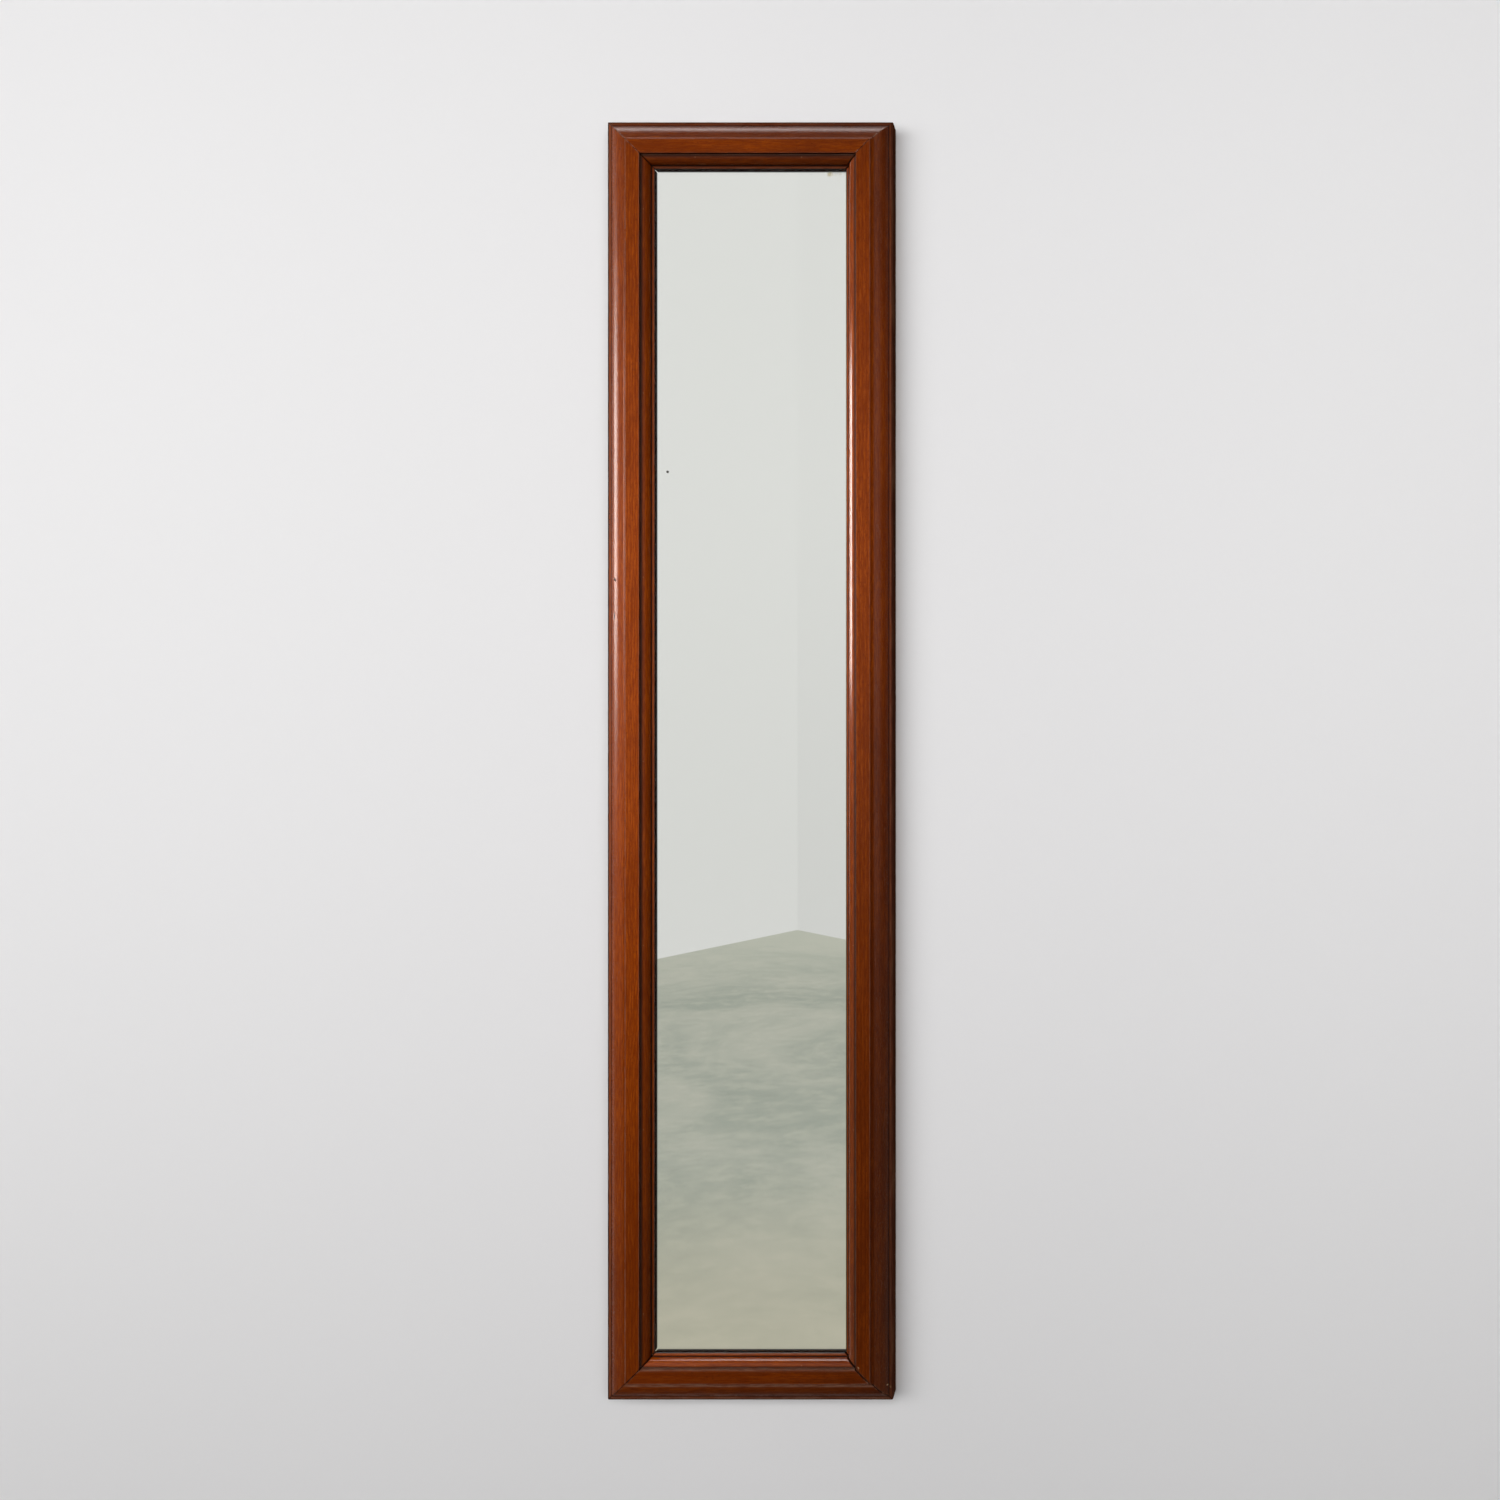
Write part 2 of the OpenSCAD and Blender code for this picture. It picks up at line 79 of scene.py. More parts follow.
frame_w = cad_high.x - cad_low.x
frame_h = cad_high.z - cad_low.z
middle_z = (cad_low.z + cad_high.z) / 2
back_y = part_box("wall_pads")[0].y
flat_h = back_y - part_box("left_stile")[0].y
face_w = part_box("left_slip")[0].x - cad_low.x
sight_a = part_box("left_slip")[1].x - cad_low.x
slip_top_h = back_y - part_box("left_slip")[0].y
glass_front_h = back_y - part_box("mirror_plate")[0].y
silver_h = back_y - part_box("silvering")[0].y
ledge_h = back_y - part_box("upper_backboard")[0].y
plate_room = 1 * mm          # between the plate's edge and the wall of its rebate
rabbet_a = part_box("mirror_plate")[0].x - cad_low.x - plate_room
print("moulding", round(sight_a / mm, 1), "mm wide,", round(flat_h / mm, 1), "mm deep")

# %% The lines inside the mouldings
edge_h = 28 * mm             # how far forward the outer edge reaches
fillet_w = 6 * mm            # the narrow step beside it
ovolo_w = 18 * mm            # the large round
ovolo_rise = 10.5 * mm
cove_r = 5.5 * mm            # the hollow between the round and the flat
ledge_w = 8 * mm             # what the boards are nailed to
slip_fillet_w = 1.6 * mm
slip_ovolo_r = 10.3 * mm
lip_t = 4.2 * mm             # the slip's lip, which holds the glass
print("the flat is", round((face_w - fillet_w - ovolo_w - cove_r) / mm, 1), "mm wide")

# %% Where those lines meet
cove_a = fillet_w + ovolo_w
flat_a = cove_a + cove_r
shoulder_h = edge_h + ovolo_rise
ovolo_r = (ovolo_w**2 + ovolo_rise**2) / (2 * ovolo_rise)
ledge_a = rabbet_a - ledge_w
slip_ovolo_a = face_w + slip_fillet_w
slip_foot_h = slip_top_h - slip_ovolo_r
lip_a = slip_ovolo_a + slip_ovolo_r
lip_h = glass_front_h + lip_t
print("the outer ovolo's radius is", round(ovolo_r / mm, 2), "mm")

# %% [markdown]
# ## Drawing a section
# A moulding is one outline carried along a length of wood. The outline could be a bevelled
# curve object, but a mesh made ring by ring lets every point be worn, dented and stained by
# where it lies, which is what makes old joinery look old. So the outline is a list of points:
# true arcs for the ovolos and the cove, and corners that hands and dusters have eased.


# %% Arcs and eased corners
def arc(centre, radius, start, end, count):
    """Points along an arc of a section, between two angles in degrees."""
    turns = [math.radians(start + (end - start) * i / count) for i in range(count + 1)]
    return [(centre[0] + radius * math.cos(t), centre[1] + radius * math.sin(t)) for t in turns]


def eased(before, corner, after, reach, count=4):
    """A worn corner: a curve that leaves one straight line and joins the next."""
    corner = Vector(corner)
    start = corner + (Vector(before) - corner).normalized() * reach
    end = corner + (Vector(after) - corner).normalized() * reach
    steps = [i / count for i in range(count + 1)]
    return [tuple((1 - t) ** 2 * start + 2 * t * (1 - t) * corner + t * t * end) for t in steps]


def worn_round(corners):
    """Closes an outline from (a, h, reach) corners, easing each that has a reach."""
    points = []
    for i, (a, h, reach) in enumerate(corners):
        before, after = corners[i - 1][:2], corners[(i + 1) % len(corners)][:2]
        points += eased(before, (a, h), after, reach) if reach else [(a, h)]
    return points


def spread(points, step):
    """Adds points where two neighbours are further apart than the step."""
    result = []
    for here, there in zip(points, points[1:] + points[:1]):
        count = max(1, math.ceil(math.dist(here, there) / step))
        result += [tuple(Vector(here).lerp(Vector(there), i / count)) for i in range(count)]
    return result


print("a worn corner has", len(eased((0, 1), (0, 0), (1, 0), 0.1)), "points")

# %% How far each corner is eased
dusted = 3.2 * mm            # the outer arris, rounded by a century of dusting
soft = 1.3 * mm              # the other arrises of the face
nosed = 1.2 * mm             # the slip's inner arris, beside the glass
crisp = 0.5 * mm             # an arris that is out of reach
broken_off = 0.35 * mm       # the slip's outer arris, beside the flat
under_lip = 0.2 * mm
sharp = 0
print("eased by", [round(reach / mm, 2) for reach in (dusted, soft, nosed, crisp)], "mm")

# %% The outline of the frame's moulding
ovolo_centre = (cove_a, shoulder_h - ovolo_r)
ovolo_start = math.degrees(math.atan2(edge_h - ovolo_centre[1], -ovolo_w))
ovolo = arc(ovolo_centre, ovolo_r, ovolo_start, 90, 18)
cove = arc((cove_a, flat_h), cove_r, -90, -16, 8)
main_spacing = 1.2 * mm      # no two points of the outline are further apart

main_corners = [(0, 0, crisp), (0, edge_h, dusted)]
main_corners += [(a, h, sharp) for a, h in ovolo + cove[1:]]
main_corners += [
    (flat_a, flat_h, soft), (face_w, flat_h, soft), (face_w, glass_front_h, sharp),
    (rabbet_a, glass_front_h, sharp), (rabbet_a, ledge_h, sharp),
    (ledge_a, ledge_h, sharp), (ledge_a, 0, crisp),
]
main_outline = spread(worn_round(main_corners), main_spacing)
print("the frame's outline has", len(main_outline), "points")

# %% The outline of the slip
slip_spacing = 0.8 * mm
slip_round = arc((slip_ovolo_a, slip_foot_h), slip_ovolo_r, 90, 0, 16)
slip_corners = [(face_w, glass_front_h, sharp), (face_w, slip_top_h, broken_off)]
slip_corners += [(a, h, sharp) for a, h in slip_round]
slip_corners += [
    (lip_a, lip_h, sharp), (sight_a, lip_h, nosed), (sight_a, glass_front_h, under_lip),
]
slip_outline = spread(worn_round(slip_corners), slip_spacing)
print("the slip's outline has", len(slip_outline), "points")

# %% [markdown]
# ## Where wood wears, where dirt and shade lie, and where highlights are painted
# Polish rubs off the arrises that stand out, and their pale marks are also painted highlights
# where the arrises catch the light. Old wax and dust fill the corners that go in, and their dark
# marks are also painted shade.
# Both can be told from the section alone: each mark is a point of the section with a weight
# and a reach, and each point of the outline gets the strongest mark near it. The marks are
# kept on the mesh as attributes, so that the finish can use them. Baking them from the
# geometry would also work, but then a thin quirk would need a far finer mesh.

# %% Marks of the frame's moulding
# Each mark is (a, h, weight, reach).
# Pale marks where polish is rubbed off, which also paint highlights where these arrises catch the
# light.
main_wear_and_glint_marks = [
    (flat_a, flat_h, 0.6, 1.0 * mm), (face_w, flat_h, 0.5, 0.8 * mm),
    (3.6 * mm, edge_h, 0.32, 1.2 * mm),
]
# Dark marks of dirt in the hollows, which also paint the shade in the quirks and under the step
# beside the slip.
main_dirt_and_shade_marks = [
    (0.3 * mm, edge_h - 0.8 * mm, 0.85, 2.3 * mm), (fillet_w, edge_h, 0.75, 1.3 * mm),
    (2 * mm, edge_h, 0.40, 4.5 * mm), (cove_a, shoulder_h, 0.3, 1.5 * mm),
    (face_w, flat_h - 4 * mm, 1.2, 3.2 * mm),
]
# The bottom rail's cove and inner edge face up to the light, so they are painted pale, as lit, and
# not dark.
upfacing_lit_lines = [
    (cove_a + 1.2 * mm, shoulder_h + 0.8 * mm, 0.50, 1.5 * mm),
    (face_w, flat_h - 2.5 * mm, 0.62, 2.2 * mm),
]
print(len(main_wear_and_glint_marks), "arrises and", len(main_dirt_and_shade_marks), "crevices on the frame")

# %% Marks of the slip
# Pale marks on the slip's arrises: rubbed polish, and also painted highlights where they catch the
# light.
slip_wear_and_glint_marks = [
    (face_w + slip_fillet_w / 2, slip_top_h, 0.9, 0.6 * mm),
    (sight_a - 0.8 * mm, lip_h, 0.35, 0.7 * mm),
]
# Dark marks of dirt, which also paint the shade in the groove before the lip, on the lip's inner
# face and under the step.
slip_dirt_and_shade_marks = [
    (lip_a, lip_h + 0.5 * mm, 1.1, 1.4 * mm), (sight_a, lip_h - 2.6 * mm, 1.4, 2.0 * mm),
    (face_w, slip_top_h - 1.5 * mm, 1.0, 1.2 * mm),
    (face_w + 1.4 * mm, slip_top_h, 0.72, 2.8 * mm),
]
# A darker inner arris on the right slip, beside the glass.
dark_inner_arris = [(sight_a, lip_h, 1.0, 1.7 * mm)]    # on the right slip only
print(len(slip_wear_and_glint_marks), "arrises and", len(slip_dirt_and_shade_marks), "crevices on a slip")


# %% The strongest mark at each point
def nearest_mark(outline, marks):
    """The strongest mark at each point of an outline."""
    points = np.array(outline)
    fields = [
        weight * np.exp(-((points - (a, h)) ** 2).sum(axis=1) / reach**2)
        for a, h, weight, reach in marks
    ]
    return np.max(fields, axis=0)


print("most grime at one point:", round(nearest_mark(main_outline, main_dirt_and_shade_marks).max(), 2))

# %% [markdown]
# ## Four finishes on one outline
# The maker stained and polished only what shows. The rounds took a polish and have kept most
# of it, and the flat and the cove have gone dull. The outer edge was only brushed with stain,
# and the back was left as it came from the saw. One material could change over the section by
# a mask, but gloss that is set on the shader can't vary inside a material, so each strip of
# the outline is given a material of its own.

# %% Which finish each strip of the outline has
round_strip, flat_strip, bare_strip, raw_strip = range(4)
brushed_a = 0.75 * dusted               # the stain ends part of the way round the outer arris
rounds_a = cove_a + 0.5 * mm            # the polish of the rounds ends just inside the cove
behind_h = 1 * mm                       # behind this all is raw
rebate_a = face_w + 0.2 * mm            # and inward of this too
bedding_h = glass_front_h + 0.1 * mm    # the slip's back lies on the frame and the glass


def main_strip(a, h):
    """Polished rounds, dull flats and coves, brushed edges, and raw wood behind."""
    if h < behind_h or a > rebate_a:
        return raw_strip
    if a < brushed_a:
        return bare_strip
    return round_strip if a < rounds_a else flat_strip


def dulled_fillet_strip(a, h):
    """As main_strip, but with a fillet that has lost its gloss, as on the top and the right."""
    on_fillet = brushed_a < a < fillet_w and h > edge_h - dusted
    return flat_strip if on_fillet else main_strip(a, h)


def slip_strip(a, h):
    """Polish on all that shows of the slip, and bare wood where it is bedded."""
    return bare_strip if h < bedding_h else round_strip


def strips(outline, rule):
    """The finish of each strip between two neighbours of the outline."""
    middles = (np.array(outline) + np.roll(outline, -1, axis=0)) / 2
    return [rule(a, h) for a, h in middles]


# The sides are numbered 0 right, 1 top, 2 left and 3 bottom.
main_skins = [
    strips(main_outline, dulled_fillet_strip if side < 2 else main_strip) for side in range(4)
]
slip_skins = strips(slip_outline, slip_strip)
print("round, flat, brushed and raw strips:", [main_skins[2].count(kind) for kind in range(4)])

# %% [markdown]
# ## Painted light and shade
# The frame hangs where the light comes from the left, at standing height. So the wood's colour
# is painted lightest on the left stile just above the middle, where that light falls most, and
# darkest at the foot of the right one, which is in shade. One function of the place gives this
# painted light and shade for all four sides, so that it runs on across the mitres.


# %% Painted light and shade
def light_band(z, least, height, reach):
    """1 at the height where the light fell, down to the least value far from it."""
    return least + (1 - least) * np.exp(-(((z - height) / reach) ** 2))


def painted_light_at(x, z):
    """How light the wood is painted at a place of the frame, up to 1, for the light that falls
    there.
    """
    left = light_band(z, 0.5, height=-0.70, reach=0.62)
    right = 0.73 * light_band(z, 0.4, height=-0.50, reach=0.50)
    across = x / frame_w + 0.5
    return left * (1 - across) + right * across


print("fading at mid height:", painted_light_at(np.array([-0.2, 0.2]), middle_z).round(2))

# %% [markdown]
# ## Running the moulding round the frame
# The four sides are one section swept along four lengths, each cut at 45 degrees. A sweep
# through rings that lean gradually from one mitre to the other needs no boolean cut and keeps
# every face a quad. The rings stand closer together around each flaw, such as a knot or a
# nail hole, so that the flaw is a real hollow in the mesh.

# %% Sides and their directions
# Both are (x, z) pairs, in the order of the sides: right, top, left, bottom.
outward = [(1, 0), (0, 1), (-1, 0), (0, -1)]
lengthwise = [(0, 1), (-1, 0), (0, -1), (1, 0)]


def half_length(side):
    """Half of a side's length along its outer edge."""
    return (frame_h if side % 2 == 0 else frame_w) / 2


def half_width(side):
    """How far a side's outer edge is from the middle of the frame."""
    return (frame_w if side % 2 == 0 else frame_h) / 2


def on_side(side, a, h, along):
    """The place of a section point in the frame, as three arrays."""
    out = half_width(side) - a
    (ox, oz), (lx, lz) = outward[side], lengthwise[side]
    return out * ox + along * lx, back_y - h, middle_z + out * oz + along * lz


print("the left stile's middle is at x =", round(on_side(2, face_w / 2, flat_h, 0)[0], 4))

# %% Rings along a side
ring_step = 5 * mm
mitre_rings = (0.3, 0.8, 1.8)     # in mm from each end
least_gap = 1e-4                  # between two rings, as a share of half the side


def ring_places(half, step, flaws):
    """Where the rings stand, from -1 to 1, closer together around flaws and mitres."""
    places = list(np.linspace(-1, 1, round(2 * half / step) + 1))
    for flaw in flaws:
        middle = flaw["along"] / (half - flaw["a"])
        places += [middle + flaw["size"] * k / 4 / half for k in range(-7, 8)]
    places += [sign * (1 - k * mm / half) for sign in (-1, 1) for k in mitre_rings]
    places = np.unique(np.clip(np.round(places, 6), -1, 1))
    return places[np.concatenate([[True], np.diff(places) > least_gap])]


print("rings on a stile without flaws:", len(ring_places(half_length(0), ring_step, [])))


# %% Normals of a section, and smooth noise
def section_normals(outline):
    """Outward directions of an outline that runs clockwise."""
    points = np.array(outline)
    edge = np.roll(points, -1, axis=0) - np.roll(points, 1, axis=0)
    normal = np.stack([-edge[:, 1], edge[:, 0]], axis=1)
    return normal / np.linalg.norm(normal, axis=1)[:, None]


def noise_at(points, scale):
    """Smooth noise at each point, after stretching the points by the scale."""
    flat = (points * np.array(scale)).reshape(-1, 3)
    return np.array([noise.noise(Vector(p)) for p in flat]).reshape(points.shape[:-1])


flat_point = np.argmax(np.array(main_outline)[:, 1])
print("the flat faces", section_normals(main_outline)[flat_point].round(2), "in its section")

# %% [markdown]
# ## One mitred length
# The functions below make one length of moulding. They carry the outline through the rings,
# then work on the points as use and time do: they plane slightly unevenly, rub the arrises
# down, sink the flaws, and ease the ends where an old mitre has opened. The grain attribute
# gives each point its place in the board that the length was cut from, because the figure of
# wood runs through the solid, and doesn't lie on the surface as a picture would.

# %% Turn rings of points into a piece
sharp_from = 40              # degrees between two faces


def placed(name, mesh):
    """Links a mesh as an object, with its normals outward and its sharp edges marked."""
    shape = bmesh.new()
    shape.from_mesh(mesh)
    bmesh.ops.recalc_face_normals(shape, faces=shape.faces)
    for face in shape.faces:
        face.smooth = True
    for edge in shape.edges:
        edge.smooth = edge.calc_face_angle(0) < math.radians(sharp_from)
    shape.to_mesh(mesh)
    shape.free()
    piece = bpy.data.objects.new(name, mesh)
    bpy.context.scene.collection.objects.link(piece)
    piece.modifiers.new("even shading", "WEIGHTED_NORMAL").keep_sharp = True
    return piece


def ringed_mesh(name, points, skins, attributes):
    """A closed mesh from rings of points, with its attributes and the finish of each strip."""
    rings, count = points.shape[:2]
    index = np.arange(rings * count).reshape(rings, count)
    ahead, beside = index[1:, :], np.roll(index, -1, axis=1)
    quads = np.stack([index[:-1], beside[:-1], beside[1:], ahead], axis=-1).reshape(-1, 4)
    faces = quads.tolist() + [index[0, ::-1].tolist(), index[-1].tolist()]
    mesh = bpy.data.meshes.new(name)
    mesh.from_pydata(points.reshape(-1, 3).tolist(), [], faces)
    face_skins = skins * (rings - 1) + [bare_strip, bare_strip]
    mesh.polygons.foreach_set("material_index", face_skins)
    for key, values in attributes.items():
        kind, field = ("FLOAT_VECTOR", "vector") if values.ndim == 3 else ("FLOAT", "value")
        layer = mesh.attributes.new(key, kind, "POINT")
        layer.data.foreach_set(field, np.ascontiguousarray(values, dtype=np.float32).ravel())
    return placed(name, mesh)


print("an edge stays sharp from", sharp_from, "degrees between its faces")

# %% What time has done to a length
rubbed_depth = 0.30 * mm     # how deep hands have worn the arrises
planed_depth = 0.06 * mm     # how uneven the plane left the surface
eased_depth = 0.35 * mm      # how far the ends are rounded over, beside a mitre
eased_reach = 0.5 * mm
chipped_reach = 1.3 * mm     # how far from a mitre the polish has chipped


def chips(board, end_gap):
    """How much polish has chipped off beside a mitre, and how much dirt lies there instead."""
    at_end = np.exp(-((end_gap / chipped_reach) ** 2))
    chipped = np.clip(noise_at(board, (260, 300, 300)) * 2.4 + 0.45, 0, 1)
    return at_end * chipped, at_end**2 * (1 - chipped) * 0.8


def sink_flaws(flaws, a, h, along):
    """How deep the flaws sink each point, how pale they leave it, and how dark."""
    sunk, pale, dark = np.zeros((3, *a.shape))
    for flaw in flaws:
        gap = np.hypot(along - flaw["along"], (a - flaw["a"]) * flaw.get("stretch", 1))
        if "h" in flaw:
            gap = np.hypot(gap, h - flaw["h"])
        # A flaw that gives no h is on the front, and leaves the back as it is.
        front = (h > edge_h - 2 * mm) | ("h" in flaw)
        here = np.where(front, np.clip(1 - (gap / flaw["size"]) ** 2, 0, 1) ** 1.5, 0)
        sunk += here * flaw["depth"]
        pale = np.maximum(pale, here * flaw.get("pale", 0))
        dark = np.maximum(dark, here * flaw.get("dark", 0))
    return sunk, pale, dark


print("an arris is worn by up to", round(rubbed_depth / mm, 2), "mm")

# %% Sweep a length
board_apart = 3.7            # so that no two sides show the same stretch of wood


def length_of_moulding(
    name, side, outline, skins, arrises, crevices, mitres, heart, flaws, lit_tones, pale_and_glinting_ends,
):
    """Makes one mitred length. "mitres" are the openings (outer, inner) at its two ends,
    "heart" is the board's pith in the section, and "lit_tones" are the painted light and shade of
    its rounds and its flat, and how pale its rubbed arrises and their painted highlights are.
    "pale_and_glinting_ends" says how pale its two ends are painted along the mitres, for chipped
    polish and painted highlights."""
    a0, h0 = np.array(outline).T
    places = ring_places(half_length(side), ring_step, flaws)
    t, a = np.meshgrid(places, a0, indexing="ij")
    h = np.broadcast_to(h0, a.shape).copy()

    share = np.clip(a / sight_a, 0, 1)
    stand_back = [outer + (inner - outer) * share for outer, inner in mitres]
    room = np.where(t < 0, stand_back[0], stand_back[1]) / math.sqrt(2)
    along = t * (half_length(side) - a - room)

    board = np.stack([along + board_apart * (side + 1), a - heart[0], h - heart[1]], axis=-1)
    end_gap = np.abs(np.abs(t) - 1) * half_length(side)
    worn = np.broadcast_to(nearest_mark(outline, arrises), a.shape)
    grime = np.broadcast_to(nearest_mark(outline, crevices), a.shape)
    chipped, dirty = chips(board, end_gap)
    flawed, stopping, blackened = sink_flaws(flaws, a, h, along)

    rubbed = np.clip(noise_at(board, (35, 120, 120)) + 0.25, 0, 1) * rubbed_depth
    planed = (noise_at(board, (6, 60, 60)) + 1) * planed_depth
    opened = eased_depth * np.exp(-((end_gap / eased_reach) ** 2))
    sunk = worn * rubbed + planed + opened + flawed
    # Pale marks: rubbed polish and painted highlights on the arrises, and chipped polish with
    # painted highlights along the mitres.
    worn = np.maximum(worn * lit_tones[2], np.where(t < 0, pale_and_glinting_ends[0], pale_and_glinting_ends[1]) * chipped)
    grime = np.maximum(np.maximum(grime, dirty), blackened)

    normal = section_normals(outline)
    a, h = a - normal[:, 0] * sunk, h - normal[:, 1] * sunk
    x, y, z = np.broadcast_arrays(*on_side(side, a, h, along))
    on_flat = np.clip((a - cove_a) / cove_r, 0, 1)
    # The tone is painted light and shade: lighter where the light falls and on faces turned to it,
    # darker away from it.
    tone = painted_light_at(x, z) * (lit_tones[0] + (lit_tones[1] - lit_tones[0]) * on_flat)
    # The pale marks also paint highlights, the dark marks also paint shade, and the tone paints
    # light and shade.
    return ringed_mesh(name, np.stack([x, y, z], axis=-1), skins, {
        "grain": board, "worn": worn, "grime": grime, "stopping": stopping, "tone": tone,
    })


print("rings stand", round(ring_step / mm), "mm apart, and closer around a flaw")

# %% [markdown]
# ## Flaws, nail holes and open mitres
# The lower mitres have opened as the wood dried, by up to two millimetres at the bottom right.
# A knot has left a small hole in the left stile, and the corners' nails and the slips' pins
# were punched below the surface and stopped with wax.

# %% Open mitres
mitre_open = {
    "top left": (0.1 * mm, 0.3 * mm), "top right": (0.2 * mm, 0.6 * mm),
    "bottom left": (0.7 * mm, 1.3 * mm), "bottom right": (0.9 * mm, 2.1 * mm),
}
mitre_ends = {
    0: ("bottom right", "top right"), 1: ("top right", "top left"),
    2: ("top left", "bottom left"), 3: ("bottom left", "bottom right"),
}
print("widest mitre:", round(max(inner for outer, inner in mitre_open.values()) / mm, 1), "mm")

# %% Nail holes
rail_nail_inset = 12 * mm
rail_nail_h = 19 * mm
stile_nail_inset = 20 * mm
stile_nail_h = 22.5 * mm
nail_hole = 1.3 * mm


def nail_holes(side):
    """The two stopped nail holes in the outer edge of a side."""
    rail = side % 2 == 1
    inset, h = (rail_nail_inset, rail_nail_h) if rail else (stile_nail_inset, stile_nail_h)
    return [
        {"a": 0, "h": h, "along": end * (half_length(side) - inset), "size": nail_hole,
         "depth": 0.4 * mm, "dark": 0.8}
        for end in (-1, 1)
    ]


print("nails of the top rail at", [round(hole["along"], 3) for hole in nail_holes(1)])

# %% The knot, the crack, the chips and the bruises
knot = [
    {"a": 12.2 * mm, "along": -0.2535, "size": 2.2 * mm, "depth": 1.3 * mm, "dark": 1.6},
    {"a": 14.0 * mm, "along": -0.2520, "size": 1.5 * mm, "depth": 0.6 * mm, "dark": 1.3},
    {"a": 11.2 * mm, "along": -0.2558, "size": 1.2 * mm, "depth": 0.5 * mm, "dark": 1.2},
]
hair_crack = {
    "a": 12 * mm, "along": -0.2025, "size": 9 * mm, "depth": 0.3 * mm, "dark": 1.0, "stretch": 6,
}
chipped_fillet = [
    {"a": 3 * mm, "along": along, "size": 1.0 * mm, "depth": 0.4 * mm, "dark": 1.3}
    for along in (-0.346, -0.338, -0.331)
]
filled_dots = [
    {"a": 46 * mm, "along": -0.842, "size": 1.4 * mm, "depth": 0.15 * mm, "pale": 1.0},
    {"a": 7.5 * mm, "along": -0.872, "size": 1.4 * mm, "depth": 0.15 * mm, "pale": 0.9},
]
bruises = {
    0: [{"a": 3 * mm, "along": -0.876, "size": 2.2 * mm, "depth": 0.5 * mm, "pale": 0.3}],
    1: [{"a": 9 * mm, "along": 0.171, "size": 1.6 * mm, "depth": 0.35 * mm, "dark": 0.6}],
    2: [{"a": 21 * mm, "along": -0.853, "size": 1.6 * mm, "depth": 0.5 * mm, "dark": 0.8}],
    3: [{"a": 14 * mm, "along": 0.14, "size": 1.5 * mm, "depth": 0.4 * mm, "dark": 0.6}],
}
side_flaws = {side: nail_holes(side) + bruises[side] for side in range(4)}
side_flaws[0] += filled_dots
side_flaws[2] += knot + chipped_fillet + [hair_crack]
print("flaws on each side:", {side: len(flaws) for side, flaws in side_flaws.items()})

# %% The four lengths, each from its own board
side_names = {0: "right_stile", 1: "top_rail", 2: "left_stile", 3: "bottom_rail"}
hearts = {
    0: (95 * mm, -30 * mm), 1: (38 * mm, -42 * mm), 2: (-60 * mm, -24 * mm), 3: (72 * mm, -50 * mm),
}
# Painted light and shade of each length's rounds and of its flat, lighter on the sides turned to
# the light and darker on those turned away, and how pale its rubbed arrises and their painted
# highlights are.
main_lit_tones = {
    0: (0.63, 1.0, 0.6), 1: (0.61, 0.92, 0.5), 2: (0.98, 0.94, 1.2), 3: (0.64, 0.97, 1.4),
}
# How pale the two ends of each length are painted along its mitres: chipped polish, and a
# painted highlight where the end of an arris catches the light, strongest at the top right.
chipped_and_glinting_ends = {0: (0.35, 0.2), 1: (1.0, 0.6), 2: (0.5, 0.2), 3: (0.25, 0.5)}
print("the pith of the left stile's board is", round(-hearts[2][0] / mm), "mm outside it")

# %% Make the four lengths of the frame
members = {}
for side, node in side_names.items():
    # The bottom rail faces up to the light: its cove and inner edge are painted light, and the
    # painted shade beside its step is left off.
    upturned = node == "bottom_rail"
    members[side] = length_of_moulding(
        node + "_wood", side, main_outline, main_skins[side],
        main_wear_and_glint_marks + (upfacing_lit_lines if upturned else []),
        main_dirt_and_shade_marks[:-1] if upturned else main_dirt_and_shade_marks,
        [mitre_open[corner] for corner in mitre_ends[side]], hearts[side], side_flaws[side],
        main_lit_tones[side], chipped_and_glinting_ends[side],
    )
    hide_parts(node)
    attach(members[side], "frame")
print("frame vertices:", {piece.name: len(piece.data.vertices) for piece in members.values()})

# %% [markdown]
# ## The slips
# The inner moulding is a separate strip, glued and pinned to the frame beside its flat. It has
# its own mitres, which have opened more than the frame's. It could be part of the frame's own
# outline, but then the two would share one mitre. So it is swept in the same way, from an
# outline of its own.

# %% The slips' mitres and pins
slip_open = {
    "top left": (0.5 * mm, 0.7 * mm), "top right": (1.2 * mm, 1.5 * mm),
    "bottom left": (1.2 * mm, 1.4 * mm), "bottom right": (2.1 * mm, 2.4 * mm),
}
slip_names = {0: "right_slip", 1: "top_slip", 2: "left_slip", 3: "bottom_slip"}
pin_a = (face_w + rabbet_a) / 2
pins_per_side = {0: 7, 1: 2, 2: 7, 3: 2}
pin_margin = sight_a + 60 * mm


def pin_holes(side):
    """The stopped holes of the pins along a slip."""
    reach = half_length(side) - pin_margin
    return [
        {"a": pin_a, "along": along, "size": 1.1 * mm, "depth": 0.15 * mm, "pale": 0.2}
        for along in np.linspace(-reach, reach, pins_per_side[side])
    ]


print("pins along each slip:", pins_per_side)

